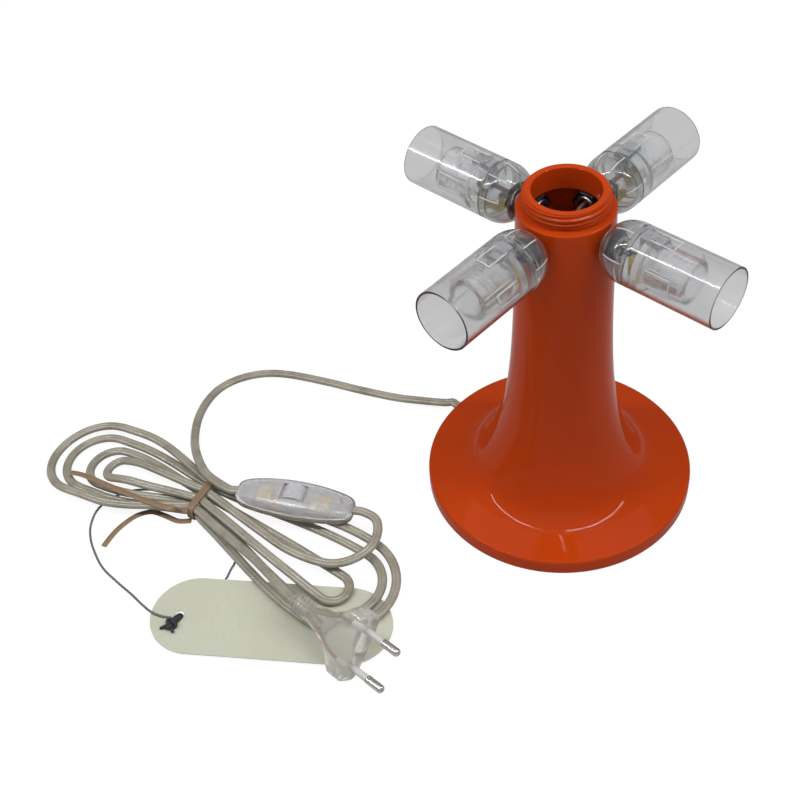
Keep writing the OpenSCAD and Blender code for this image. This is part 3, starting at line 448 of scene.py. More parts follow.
# %% Cord finish
cord_vinyl = new_finish("cord_vinyl", (0.3, 0.27, 0.2), 0.3, Coat_Weight=0.6, Coat_Roughness=0.12)
lay = add_node(cord_vinyl, "Attribute", attribute_name="lay")
way = add_node(cord_vinyl, "SeparateXYZ", {"Vector": lay.outputs["Vector"]})
wound = maths(cord_vinyl, "MULTIPLY", way.outputs["X"], 5200.0)
slant = maths(cord_vinyl, "MULTIPLY", way.outputs["Y"], 5.0)
strands = maths(cord_vinyl, "SINE", maths(cord_vinyl, "ADD", wound, slant))
strands = between(cord_vinyl, strands, 0.0, 1.0, -1.0, 1.0)
cloud = grain(cord_vinyl, 90)
shade = maths(cord_vinyl, "ADD", between(cord_vinyl, strands, -0.15, 0.15, 0, 1), cloud)
join(cord_vinyl, two_tones(cord_vinyl, shade, (0.15, 0.13, 0.09), (0.46, 0.43, 0.35)), "Base Color")
join(cord_vinyl, between(cord_vinyl, cloud, 0.22, 0.4), "Roughness")
join(cord_vinyl, dents(cord_vinyl, strands, 0.00001), "Normal")
print("cord finish is ready")


# %% Cords
def twin_section(count=26):
    """Outline of two round cores that touch: from the middle, c|cos f| + sqrt(r^2 - c^2 sin^2 f)."""
    r, c = cord_thick / 2, (cord_wide - cord_thick) / 2
    f = 2 * pi * (np.arange(count) + 0.5) / count
    out = c * abs(cos(f)) + np.sqrt(r * r - (c * sin(f)) ** 2)
    return out * cos(f), out * sin(f)


def twin_cord(name, path, gone, node):
    """The twin section along a path. Each point keeps its way along in metres and its place in the section."""
    across, upward = twin_section()
    gone = np.concatenate([gone[:1], gone, gone[-1:]]) / 1000
    lay = np.stack(np.broadcast_arrays(gone[:, None], across[None], upward[None]), axis=-1)
    return make_piece(name, [skin(swept(path, across[None], upward[None]))], cord_vinyl, stands_for=[node],
                      lay=lay)


lead = twin_cord("cord_from_lamp", lead_path, lead_gone, "cord_lead")
hank = twin_cord("cord_to_plug", hank_path, hank_gone, "cord_hank")

# %% [markdown]
# The pedestal is one turned shape: a flat foot, a trumpet flare, a straight column and a threaded neck.
# Lathe work is a profile carried round an axis. The neck's thread is not round, so the radius also gets
# a swell that climbs one pitch in a turn. Outer and inner walls are one closed loop.


# %% Helpers for turned shapes
def rounded(corners, radii, steps=5):
    """A line through corners, each one rounded: (1-s)^2 a + 2s(1-s) p + s^2 b, with a and b one radius from p."""
    p = np.asarray(corners, float)
    r = np.broadcast_to(np.asarray(radii, float), len(p) - 2)[:, None]
    a = p[1:-1] + unit(p[:-2] - p[1:-1]) * r
    b = p[1:-1] + unit(p[2:] - p[1:-1]) * r
    s = np.linspace(0, 1, steps)[None, :, None]
    turn = (1 - s) ** 2 * a[:, None] + 2 * s * (1 - s) * p[1:-1, None] + s**2 * b[:, None]
    return np.vstack([p[:1], turn.reshape(-1, 2), p[-1:]])


def straight(start, end, radius, count):
    """Points (along, radius) of a straight wall, in even steps."""
    return np.stack([np.linspace(start, end, count), np.full(count, radius)], axis=1)


def turned(profile, steps=96, swell=None, upright=False, loop=True):
    """A profile of (along, radius) carried round: (along, r cos a, r sin a), or upright (r cos a, r sin a, along).
    swell(along, radius, angle) is added to the radius."""
    along, radius = profile[:, :1], profile[:, 1:2]
    angle = round_about(steps)[None]
    if swell is not None:
        radius = radius + swell(along, radius, angle)
    y, z = radius * cos(angle), radius * sin(angle)
    along = np.broadcast_to(along, y.shape)
    return skin(np.stack([y, z, along] if upright else [along, y, z], axis=-1), wrap_rows=loop)


def screw_ridge(along, angle, pitch):
    """Height from 0 to 1 of a thread that climbs one pitch in a turn: a raised cosine, sharpened a little."""
    return ((1 + cos(2 * pi * (along / pitch - angle / (2 * pi)))) / 2) ** 1.4


def within(along, low, high, over):
    """1 between low and high, with a soft step of a given length inside each end."""
    return soft_step((along - low) / over) * soft_step((high - along) / over)


def cut(piece, cutter_skins):
    """Takes other skins away from a piece with a Boolean, and keeps the result as its mesh."""
    tool = make_piece("cutter", cutter_skins, piece.data.materials[0])
    taken = piece.modifiers.new("cut", "BOOLEAN")
    taken.object, taken.operation, taken.solver = tool, "DIFFERENCE", "EXACT"
    whole = piece.evaluated_get(bpy.context.evaluated_depsgraph_get())
    mesh = bpy.data.meshes.new_from_object(whole)
    piece.modifiers.remove(taken)
    piece.data = mesh
    mesh.set_sharp_from_angle(angle=sharp_fold)
    bpy.data.objects.remove(tool)


def bar(ring, x0, x1):
    """A ring of points carried straight along X from x0 to x1, its ends closed to a point."""
    return skin(capped(np.stack([ring + [x, 0, 0] for x in (x0, x1)])))


def flat_bar(x0, x1, wide, thick, z, steps=32):
    """A bar along X with round long edges, a stadium in section."""
    f = 2 * pi * (np.arange(steps) + 0.5) / steps
    y = np.sign(cos(f)) * (wide - thick) / 2 + thick / 2 * cos(f)
    return bar(np.stack([np.zeros(steps), y, thick / 2 * sin(f) + z], axis=1), x0, x1)


print("lathe helpers are ready")

# %% Pedestal
foot_r, foot_top, shoulder, neck_top = 66.7, 10.0, 171.7, 180.4
column_r, taper, wall = 21.9, 0.007, 3
flare_wide, flare_high, corner_wide, corner_high = 22.5, 29, 5, 2.5
neck_r, neck_bore, room_low, room_high = 18.2, 15.25, 8.5, 169.3


def flare(z):
    """Radius of the column at height z: a slight taper, a flare that dies away upwards, and a corner at its foot."""
    rise = z - foot_top
    return column_r + taper * (shoulder - z) + flare_wide * exp(-rise / flare_high) \
        + corner_wide * exp(-rise / corner_high)


climb = foot_top + (shoulder - 1.2 - foot_top) * np.linspace(0, 1, 90) ** 2
inside = room_low + (room_high - room_low) * np.linspace(1, 0, 40) ** 2
profile = np.vstack([
    rounded([[0.3, foot_r - 3.4], [0.3, foot_r], [8.6, foot_r], [foot_top, flare(foot_top)]], [1, 1.6], 7)[:-1],
    np.stack([climb, flare(climb)], axis=1),
    rounded([[shoulder - 1.2, flare(shoulder)], [shoulder, flare(shoulder)], [shoulder, neck_r],
             [shoulder + 1, neck_r]], [0.8, 0.4])[1:],
    straight(shoulder + 1, neck_top - 0.6, neck_r, 76)[1:],
    rounded([[neck_top - 0.6, neck_r], [neck_top, neck_r], [neck_top, neck_bore], [170, neck_bore]], [0.5, 0.7])[1:],
    [[room_high, neck_bore]], np.stack([inside, flare(inside + 1.5) - wall], axis=1),
    [[5.8, foot_r - 5.6], [2.2, foot_r - 5.6], [2.2, foot_r - 3.4]]])


def neck_thread(z, r, angle):
    """1.1 mm high on the neck's outside only, and fading out over 0.7 mm at both ends."""
    return 1.1 * screw_ridge(z - 173.2, angle, 2.3) * (within(z, 172.8, 179.7, 0.7) * (r > 18))


orange = new_finish("orange_plastic", (0.46, 0.034, 0.004), 0.16, bump=(60, 0.00006), Specular_IOR_Level=0.1)
haze = grain(orange, 22, detail=6.0)
join(orange, two_tones(orange, haze, (0.51, 0.051, 0.0045), (0.44, 0.041, 0.0033)), "Base Color")
scuffs = grain(orange, 260, (1, 1, 0.25), 8.0)
join(orange, between(orange, scuffs, 0.025, 0.07), "Roughness")

pedestal = make_piece("pedestal_shell", [turned(profile, 192, neck_thread, upright=True)], orange,
                      stands_for=["pedestal"])
cut(pedestal, [flat_bar(-70, -57, 7.1, 5.2, z=cord_up)])
print(f"pedestal {neck_top:.1f} mm tall, {2 * foot_r:.0f} mm across")

# %% [markdown]
# Each lampholder is moulded in clear plastic: a domed cap, a sleeve and a screw-barrel insert.
# Clear plastic needs true walls, because light bends at both faces of a wall, and the edges then read as grey lines.
# The latch frames and guide ribs are thin moulded ridges, so they are swept along lines on the cylinder.
# Their finish is milkier than the sleeve's, a painted highlight that shows them as pale lines.

# %% Clear finishes
clear = new_finish("clear_plastic", (0.9, 0.903, 0.908), 0.03, Transmission_Weight=1.0, IOR=1.46,
                   rough=(180, 0.07, 0.17), bump=(70, 0.00002))
bright_clear = new_finish("clear_mouldings", (0.95, 0.955, 0.965), 0.08, Transmission_Weight=0.88, IOR=1.2,
                          rough=(240, 0.08, 0.2))
cap_clear = new_finish("clear_caps", (0.7, 0.705, 0.71), 0.06, Transmission_Weight=0.96, IOR=1.46,
                       rough=(200, 0.04, 0.16))
# The ridges' milkier finish is a painted highlight, so they show as pale lines under any lamp.
ridge_painted_highlight = new_finish("ridges_painted_highlight", (0.86, 0.865, 0.875), 0.12, Transmission_Weight=0.45, IOR=1.46,
                        rough=(260, 0.08, 0.25))
print("clear finishes are ready")

# %% Holder shapes
holder_up, cap_mid, seam, mouth = 162.8, 35.0, 37.7, 82.0
sleeve_r, sleeve_in, fit_r, dome_in = 14.0, 13.0, 12.95, 12.9
barrel_r, barrel_in, thread_from, thread_to = 9.8, 7.0, 66, 51.5


def dome(radius, angles):
    """Points (along, radius) on a ball round the cap's middle: (cap_mid - r cos a, r sin a)."""
    return np.stack([cap_mid - radius * cos(angles), radius * sin(angles)], axis=1)


cap_profile = np.vstack([
    dome(sleeve_r, np.linspace(np.arcsin(6.5 / sleeve_r), pi / 2, 22)),
    rounded([[cap_mid, sleeve_r], [seam, sleeve_r], [seam, fit_r], [39, fit_r], [39, 11.85], [cap_mid, 11.85]],
            [0.25, 0.1, 0.25, 0.25])[1:],
    dome(dome_in, np.linspace(pi / 2, np.arccos(9.4 / dome_in), 18)),
    rounded([[25.6, 8.8], [25.6, 5.05], [22.6, 5.05], [22.6, 6.4]], [0.3, 0.3])])
sleeve_profile = np.vstack([
    rounded([[seam + 0.1, sleeve_in], [seam + 0.1, sleeve_r], [60, sleeve_r]], [0.25])[:-1],
    straight(40, mouth - 0.5, sleeve_r, 40),
    rounded([[mouth - 0.4, sleeve_r], [mouth, sleeve_r], [mouth, sleeve_in], [mouth - 0.4, sleeve_in]], [0.3, 0.3]),
    straight(mouth - 0.5, 40, sleeve_in, 40)])
insert_profile = np.vstack([
    rounded([[43, 0], [43, fit_r], [46, fit_r], [46, barrel_r], [thread_from, barrel_r], [thread_from, barrel_in],
             [65.9, barrel_in]], [0.3, 0.3, 0.6, 0.4, 0.3]),
    straight(thread_from, thread_to, barrel_in, 90)[2:],
    [[thread_to, 7.3], [46, 7.3], [46, 0]]])


def lamp_thread(along, radius, angle):
    """A round screw thread inside the barrel, 0.2 mm deep, that climbs 2.82 mm in a turn."""
    inside = (abs(radius - barrel_in) < 0.05) * within(along, 51.6, 65.6, 0.8)
    return -0.2 * screw_ridge(along, angle, 2.82) * inside


def ridge(path, wide, high, out):
    """A moulded ridge: path + side*w/2 cos f + out*h sin f, standing out along the directions given."""
    f = round_about(10)[None, :, None]
    side = unit(np.cross(np.gradient(path, axis=0), out))
    return skin(capped(path[:, None] + side[:, None] * (wide / 2 * cos(f)) + out[:, None] * (high * sin(f))))


def on_cylinder(along, degrees, radius):
    """Points at (along, r cos a, r sin a), and the directions straight out of the cylinder."""
    along, a = np.broadcast_arrays(np.asarray(along, float), radians(degrees))
    zero = np.zeros_like(a)
    out = np.stack([zero, cos(a), sin(a)], axis=1)
    return np.stack([along, zero, zero], axis=1) + radius * out, out


def long_rib(start, end, degrees, radius, wide=0.7, high=0.35):
    """A ridge along the holder; on the cap's dome it follows r = sqrt(14^2 - (cap_mid - x)^2)."""
    along = np.linspace(start, end, 14)
    ball = np.sqrt(sleeve_r**2 - np.clip(cap_mid - along, 0, 13) ** 2) - 0.2
    path, out = on_cylinder(along, np.full(14, degrees), np.minimum(radius, ball)[:, None])
    return ridge(path, wide, high, out)


def latch_frame(start, end, middle, half):
    """A tongue's outline on the sleeve: along one edge, across the end, and back along the other."""
    steps = np.linspace(0, 1, 12)
    along = np.concatenate([blend(start, end, steps), np.full(10, end), blend(end, start, steps)])
    across = np.concatenate([np.full(12, -half), blend(-half, half, np.linspace(0.05, 0.95, 10)), np.full(12, half)])
    path, out = on_cylinder(along, middle + across, sleeve_r - 0.05)
    return ridge(path, 0.6, 0.3, out)


def chipped(degrees):
    """A chip in the mouth's rim: the edge falls back 2.2 mm over 40 degrees of the circle."""
    def swell(along, radius, angle):
        off = abs(np.degrees(angle) - degrees) / 20
        return -0.5 * soft_step((along - (mouth - 2.2 * soft_step(1 - off))) / 0.3) * (off < 1) * (radius > 13.5)
    return swell


print(f"cap {cap_profile[:, 0].min():.1f} to seam {seam}, mouth at {mouth} mm")

# %% Lampholders
holder_turns = {"right": 0, "back": 90, "left": 180, "front": 270}


def moved(skins, place):
    """The same skins after a move of their points."""
    return [(place(points), faces) for points, faces in skins]


def at_holder(skins, turn):
    """From a holder's own frame, along +X, to its place round the column."""
    return moved(skins, standing([0, 0, holder_up], [0, 0, turn]))


cap_skins = [turned(cap_profile)]
insert_skins = [turned(insert_profile, 120, lamp_thread)]
ridges = [
    *(long_rib(28, seam - 0.2, a, 13.75) for a in (17, 62, 103, 163)),
    *(long_rib(49, 65.5, a, barrel_r, 0.8, 0.6) for a in (14, 27, 153, 166, 210, 330)),
    latch_frame(44.5, 56.2, 88, 14), latch_frame(49.5, 61.5, 14, 13), latch_frame(49.5, 61.5, 166, 13),
    latch_frame(44.5, 56.2, 272, 14)]
for side, turn in holder_turns.items():
    sleeve = turned(sleeve_profile, 128, chipped(64) if side == "front" else None)
    for name, skins, finish, node in (
            ("_cap_shell", cap_skins, cap_clear, "_cap"), ("_sleeve_shell", [sleeve], clear, "_sleeve"),
            ("_barrel", insert_skins, bright_clear, "_insert")):
        make_piece(side + name, at_holder(skins, turn), finish, stands_for=[side + node])
    # The ridges take the milky finish, a painted highlight.
    make_piece(side + "_mouldings", at_holder(ridges, turn), ridge_painted_highlight)

# %% [markdown]
# Metal parts show through the clear plastic, so their finishes matter although they are small.
# Pressed brass and zinc-plated steel are not even: drawing marks, a little tarnish and fine scratches
# change the colour and the roughness over a millimetre or two.


# %% Metal finishes
def metal(name, bright, dull, smooth, rough, stretch=(1, 1, 1)):
    """Bare metal: two tones from a coarse grain, roughness from a finer one, and brushed scratches."""
    finish = new_finish(name, bright, smooth, Metallic=1.0, tones=(220, bright, dull))
    fine = grain(finish, 900, stretch, 8.0)
    join(finish, between(finish, fine, smooth, rough), "Roughness")
    join(finish, dents(finish, fine, 0.00002), "Normal")
    return finish


brass = metal("brass", (0.72, 0.55, 0.2), (0.5, 0.36, 0.12), 0.2, 0.4)
steel = metal("zinc_steel", (0.55, 0.56, 0.58), (0.36, 0.37, 0.39), 0.22, 0.42)
pin_metal = metal("plated_pin", (0.72, 0.71, 0.69), (0.52, 0.51, 0.49), 0.16, 0.32, (1, 1, 0.2))
dark_nut = metal("blackened_steel", (0.07, 0.07, 0.075), (0.025, 0.025, 0.03), 0.32, 0.55)
print("metal finishes are ready")

# %% Nipples and lock nuts
flats, nut_thick, nut_bore = 12.6, 3, 5.2


def hexagon(along, radius, angle):
    """From a circle to a hexagon with flats up: r/cos(a - nearest 60) - r, with its corners turned off."""
    off = (angle - pi / 2 + pi / 6) % (pi / 3) - pi / 6
    return np.where(radius > 5.5, np.minimum(radius / cos(off), flats / 2 * 1.12) - radius, 0)


def nut(start):
    """A hexagon nut whose corners are turned off at both faces."""
    half, end = flats / 2, start + nut_thick
    loop = [[start, nut_bore], [start, half - 0.25], [start + 0.4, half], [end - 0.4, half], [end, half - 0.25],
            [end, nut_bore]]
    return turned(np.array(loop), swell=hexagon)


def nipple_thread(along, radius, angle):
    """A fine thread of 1 mm pitch and 0.25 mm depth on the nipple's outside."""
    return -0.25 * screw_ridge(along, angle, 1.0) * (radius > 4.5)


def all_round(*skins):
    """The same skins at each of the four holders."""
    return [made for turn in holder_turns.values() for made in at_holder(skins, turn)]


nipple_loop = np.vstack([straight(12.9, 29.5, 5.0, 150), [[29.6, 4.6], [29.6, 3.6], [12.8, 3.6], [12.8, 4.6]]])
inside_nut, cap_nut = flare(holder_up) - wall - 2.4 - nut_thick, 22.6 + nut_thick
make_piece("threaded_nipples", all_round(turned(nipple_loop, 40, nipple_thread)), steel,
           stands_for=["nipples"])
make_piece("hexagon_nuts", all_round(nut(inside_nut), nut(cap_nut)), dark_nut,
           stands_for=["lock_nuts"])

# %% [markdown]
# The in-line switch is a small boat: bowed sides, an arched lid and blunt ends where the cord goes through.
# A hull is a section that changes along its length, so one function gives the outer and the inner skin,
# the inner one drawn in by the wall. Fine grooves cross the lid, and the rocker's window is cut last.

# %% Switch finishes
switch_plastic = new_finish("switch_plastic", (0.9, 0.9, 0.92), 0.16, Transmission_Weight=0.78, IOR=1.48,
                            rough=(160, 0.1, 0.24), bump=(60, 0.00003))
tray_plastic = new_finish("tray_plastic", (0.66, 0.62, 0.55), 0.16, Transmission_Weight=0.8, IOR=1.48,
                          rough=(160, 0.1, 0.24))
rocker_plastic = new_finish("rocker_plastic", (0.54, 0.54, 0.56), 0.25, Subsurface_Weight=0.2, Subsurface_Scale=0.002,
                            tones=(130, (0.58, 0.58, 0.6), (0.48, 0.48, 0.5)), rough=(500, 0.2, 0.36))
print("switch finishes are ready")

# %% Switch shells
half_long, half_wide, lid_high, tray_deep, switch_wall = 31, 10.5, 6.6, 5.0, 1.5


def hull(upward, inset, rows=200, cols=40):
    """Half a hull above or below the joint. At x its half width is 10.5 - 4(x/31)^2, and its height
    6.6 - 3.2(x/31)^2 above the joint or 5 below. The section is a superellipse, and both ends are drawn to a point."""
    x = (half_long - inset) * sin(pi / 2 * np.linspace(-1, 1, rows))[:, None]
    end = (1 - abs(x / (half_long - inset)) ** 14) ** 0.25
    v = np.linspace(0, pi, cols)[None]
    wide = (half_wide - 4 * (x / half_long) ** 2 - inset) * end
    tall = ((lid_high - 3.2 * (x / half_long) ** 2 if upward else tray_deep) - inset) * end
    power = 2 / 2.7 if upward else 2 / 5
    y = wide * squared(cos(v), power)
    z = tall * abs(sin(v)) ** power
    if upward and not inset:
        marks = exp(-((abs(x)[..., None] - [11, 15.5, 20, 24.5]) / 0.3) ** 2).sum(axis=-1)
        seam_line = exp(-(((v - 0.9) / 0.03) ** 2)) + exp(-(((v - 2.24) / 0.03) ** 2))
        z = z - 0.22 * marks * (sin(v) > 0.5) - 0.2 * seam_line * end
    return np.stack([np.broadcast_to(x, y.shape), y, switch_split + (z if upward else -z)], axis=-1)


def shell(upward):
    """Outer and inner half hull as one closed loop of columns."""
    return skin(np.concatenate([hull(upward, 0.0), hull(upward, switch_wall)[:, ::-1]], axis=1))


def block(low, high):
    """A plain box as a skin, for cutting."""
    (x0, y0, z0), (x1, y1, z1) = low, high
    return bar(np.array([[0, y0, z0], [0, y1, z0], [0, y1, z1], [0, y0, z1]], float), x0, x1)


ways = [flat_bar(27, 34, 5.2, 3.3, z=switch_split), flat_bar(-34, -27, 5.2, 3.3, z=switch_split)]
lid = make_piece("switch_lid", moved([shell(True)], on_switch), switch_plastic,
                 stands_for=["switch_cover"])
tray = make_piece("switch_tray", moved([shell(False)], on_switch), tray_plastic,
                  stands_for=["switch_base"])
cut(lid, moved(ways + [block((-6.5, -5, 3), (6.5, 5, 14))], on_switch))
cut(tray, moved(ways, on_switch))

# %% Rocker
drum_r, drum_top, drum_foot, axle_up, rest_tilt = 6.2, 5.6, 2.7, 7.2, radians(-8)


def rocker_skin():
    """A drum of radius 6.2 with a flat foot and a dished top, 9.4 wide, tilted 8 degrees on its axle:
    r is the least of 6.2, 5.6/sin a above and 2.7/-sin a below, and both ends are drawn in by a small round."""
    a = round_about(120)[None]
    top = np.where(sin(a) > 0.05, drum_top / np.maximum(sin(a), 0.05), 99)
    foot = np.where(sin(a) < -0.05, drum_foot / np.maximum(-sin(a), 0.05), 99)
    y = np.array([-4.7, -4.7, -4.4, *np.linspace(-4.2, 4.2, 24), 4.4, 4.7, 4.7])[:, None]
    inset = np.array([drum_r, 0.35, 0.1, *np.zeros(24), 0.1, 0.35, drum_r])[:, None]
    r = np.maximum(np.minimum(drum_r, np.minimum(top, foot)) - inset, 0)
    x, z = r * cos(a), r * sin(a)
    dish = 0.9 * exp(-((x / 3.2) ** 2)) * soft_step((4.4 - abs(y)) / 1.5) * (z > 3)
    lines = 0.12 * (cos(2 * pi * x / 1.3) > 0.3) * (abs(y) < 3.6) * (z > 4)
    z = z - dish - lines * (abs(x) > 2.5)
    c, s = cos(rest_tilt), sin(rest_tilt)
    return skin(np.stack([x * c + z * s, np.broadcast_to(y, x.shape), -x * s + z * c + axle_up], axis=-1))


make_piece("rocker_button", moved([rocker_skin()], on_switch), rocker_plastic, body="rocker",
           stands_for=["switch_rocker"])

# %% [markdown]
# The plug is cast in one block of soft clear plastic round its two pins. Its outline runs from a wide face,
# in along hollow sides, to a narrow ribbed tail, so its half width and half thickness are curves along X
# and its section goes from a rounded box to a circle. The two cores show inside on their way to the pins.

# %% Plug finishes
plug_plastic = new_finish("plug_plastic", (0.84, 0.83, 0.79), 0.14, Transmission_Weight=0.8, IOR=1.48,
                          rough=(140, 0.08, 0.22), bump=(55, 0.00004))
white_plastic = new_finish("white_plastic", (0.78, 0.78, 0.76), 0.35, Subsurface_Weight=0.1, Subsurface_Scale=0.001,
                           tones=(150, (0.6, 0.6, 0.58), (0.5, 0.5, 0.48)), rough=(600, 0.28, 0.5))
core_brown = new_finish("core_plastic", (0.3, 0.2, 0.12), 0.4,
                        tones=(200, (0.34, 0.24, 0.14), (0.2, 0.13, 0.07)))
print("plug finishes are ready")

# %% Plug body
pin_off, core_r, tail_r = 9.3, 0.8, 4.6


def plug_skin(cols=96):
    """Half width and half thickness as smooth curves through points along X, with a superellipse section whose
    power falls from 5 at the face to 2 at the tail. Rings are pressed into the tail, a thumb dish into both sides."""
    marks = through([
        [0, 13.5, 4.2], [-0.3, 15.6, 5.6], [-1.4, 16.9, 6.75], [-4, 17, 6.85], [-8, 17, 6.85], [-10, 16.2, 6.75],
        [-12.4, 13.4, 6.55], [-15, 10.6, 6.3], [-18, 8.7, 6.0], [-22, 7.1, 5.7], [-27, 5.8, 5.2], [-31, 5.0, 4.8],
        [-36, 4.6, 4.6], [-41, 4.5, 4.5], [-43.6, 4.3, 4.3], [-44, 3.6, 3.6]], 12)
    x, wide, thick = (marks[:, k][:, None] for k in range(3))
    f = round_about(cols)[None]
    power = 2 / (2 + 3 * soft_step((x + 32) / 24))
    y, z = wide * squared(cos(f), power), thick * squared(sin(f), power)
    dish = 1.1 * exp(-(((x + 19) / 7) ** 2)) * soft_step((wide - abs(y)) / 3)
    rings = 0.7 * (cos(2 * pi * (x + 34) / 2.6) > 0.45) * (x < -33) * (x > -43)
    y, z = y * (1 - rings / tail_r), (z - np.sign(z) * dish) * (1 - rings / tail_r)
    return skin(capped(np.stack([np.broadcast_to(x, y.shape), y, z], axis=-1)))


def pin_pair(profile):
    """Two turned pieces side by side, 18.6 mm apart."""
    points, faces = turned(profile, 40, loop=False)
    return [(points + [0, side * pin_off, 0], faces) for side in (-1, 1)]


def cores():
    """The two cores from the cord's end out to the pins, on an S-curve: y = 1 + 8.3*step along the way."""
    s = np.linspace(0, 1, 30)
    x, y = blend(-35, -7, s), 1.0 + 8.3 * soft_step(s)
    return [round_tube(np.stack([x, side * y, 0 * s], axis=1), core_r) for side in (-1, 1)]


tip = rounded([[9.5, 0], [9.5, 2], [18.3, 2], [19, 1.1], [19, 0.6], [18.3, 0.5], [18.2, 0]], [0.15, 0.7, 0.2, 0.1, 0.1])
collar = rounded([[-7.7, 0], [-7.7, 1.75], [4, 1.7], [9.4, 1.75], [9.45, 0]], [0.1, 1, 0.15])
plug = make_piece("plug_casting", moved([plug_skin()], on_plug), plug_plastic,
                  stands_for=["plug_body"])
pins = make_piece("plug_tips", moved(pin_pair(tip), on_plug), pin_metal, stands_for=["plug_pins"])
collars = make_piece("plug_collars", moved(pin_pair(collar), on_plug), white_plastic,
                     stands_for=["pin_sleeves"])
plug_cores = make_piece("plug_cores", moved(cores(), on_plug), core_brown)

# %% [markdown]
# A card tag hangs on a thin string, which is caught under the wire tie of the hank.
# The card is a grid stretched from its punched hole out to its rounded edge, and closed underneath.
# The string is three twisted plies: a section with three lobes that turns as it goes along.

# %% Tag finishes
card = new_finish("tag_card", (0.62, 0.61, 0.47), 0.75, Specular_IOR_Level=0.25)
pulp = grain(card, 420, (1, 2.5, 1), 8.0)
stain = between(card, maths(card, "MULTIPLY", pulp, grain(card, 18, detail=3.0)), 0, 1, 0.12, 0.4)
join(card, two_tones(card, stain, (0.51, 0.52, 0.415), (0.56, 0.57, 0.465)), "Base Color")
join(card, dents(card, pulp, 0.00006), "Normal")
twine = new_finish("grey_twine", (0.2, 0.2, 0.21), 0.7, tones=(700, (0.07, 0.07, 0.075), (0.2, 0.2, 0.21)))
black_twine = new_finish("black_twine", (0.012, 0.011, 0.013), 0.6,
                         tones=(700, (0.008, 0.008, 0.009), (0.03, 0.03, 0.032)))
tie_paper = new_finish("tie_strip", (0.24, 0.15, 0.08), 0.45,
                       tones=(300, (0.32, 0.21, 0.12), (0.18, 0.11, 0.06)), rough=(800, 0.35, 0.6))
print("tag finishes are ready")


# %% Tag
def tag_skin(long=118.0, wide=44.0, hole_r=2.0, hole_in=14.3, lift=1.3, thick=0.5):
    """Card with half-round ends: each edge point is joined to the hole's point in the same direction,
    edge*k + hole*(1-k), above and below. The card bows up a little at its long edges."""
    straight_half, r = (long - wide) / 2, wide / 2
    f = np.linspace(-pi / 2, pi / 2, 70)
    end = np.stack([straight_half + r * cos(f), r * sin(f)], axis=1)
    run = straight(straight_half, -straight_half, r, 42)[1:-1]
    edge = np.vstack([end, run, -end, -run])
    centre = np.array([-long / 2 + hole_in, 0])
    way = np.arctan2(edge[:, 1], edge[:, 0] - centre[0])
    rim = centre + hole_r * np.stack([cos(way), sin(way)], axis=1)
    k = np.concatenate([[0, 0.004], np.linspace(0.02, 0.985, 20), [0.997, 1]])[:, None, None]
    flat = rim[None] * (1 - k) + edge[None] * k
    half = thick / 2 * np.minimum(1, np.minimum(k, 1 - k) * 200 + 0.4)[..., 0] * np.ones((1, len(edge)))
    bow = 0.25 * (1 - (flat[..., 0] / (long / 2)) ** 2) * (flat[..., 1] / r) ** 2
    mid = lift + thick / 2 + bow
    top, bottom = (np.concatenate([flat, (mid + side * half)[..., None]], axis=-1) for side in (1, -1))
    return skin(np.concatenate([top, bottom[::-1]]), wrap_rows=True)


on_tag = standing([-46.7, -162.5, 0], [0, 0, 35])
make_piece("card_tag", moved([tag_skin()], on_tag), card, stands_for=["hang_tag"])

# %% String and knot
low, tied, top = 0.7, 1.3, 2.45
string_r, ply_turn = 0.58, 2.4
string_marks = [
    [-84.5, -192.5, top], [-89, -195, top], [-95, -196.6, top], [-103, -196.2, 1.4], [-112, -195.4, low],
    [-122.6, -195.2, low], [-135.8, -194.2, low], [-148.1, -190, low], [-156, -185.9, low], [-162.4, -180.5, low],
    [-167.6, -172.1, low], [-168, -162.4, low], [-163, -151, low], [-150, -141.5, low], [-134, -138.5, tied],
    [-120, -137, tied], [-104, -138.5, low], [-89, -146, low], [-84.3, -154.6, low], [-81.6, -161.3, low],
    [-80, -172, low], [-81.5, -187, low]]
string_path, string_gone = evenly(through(string_marks, 12), 0.4)
plies = string_r * (1.0 + 0.1 * cos(3 * round_about(12)[None] - 2 * pi * string_gone[:, None] / ply_turn))
string = make_piece("tag_twine", [round_tube(string_path, plies)], twine, stands_for=["tag_string"])


def around(line):
    """The way along a closed line at each of its points, from the point before to the point after."""
    return np.roll(line, -1, axis=0) - np.roll(line, 1, axis=0)


def knot_skin(middle, size, thick):
    """An overhand knot drawn tight, a trefoil: (sin t + 2 sin 2t, cos t - 2 cos 2t, -0.9 sin 3t) times its size."""
    t = round_about(90)
    line = size * np.stack([sin(t) + 2 * sin(2 * t), cos(t) - 2 * cos(2 * t), -0.9 * sin(3 * t)], axis=1)
    side = unit(np.cross(around(line), [0.13, 0.21, 1.0]))
    up = np.cross(side, unit(around(line)))
    a = round_about(12)[None, :, None]
    return skin(line[:, None] + thick * (cos(a) * side[:, None] + sin(a) * up[:, None]) + middle, wrap_rows=True)


def twine_end(thick, *marks):
    """A short round end of string along a few points, drawn to a point at both ends."""
    path, gone = evenly(through(marks, 8), 0.25)
    return round_tube(path, thick * np.sqrt(np.clip(np.minimum(gone, gone[-1] - gone) / thick, 0, 1))[:, None])


knot_at = np.array([-81.3, -195.5, 3.3])
hole_at = on_tag([[-43.4, 0.2, 1.1]])[0]
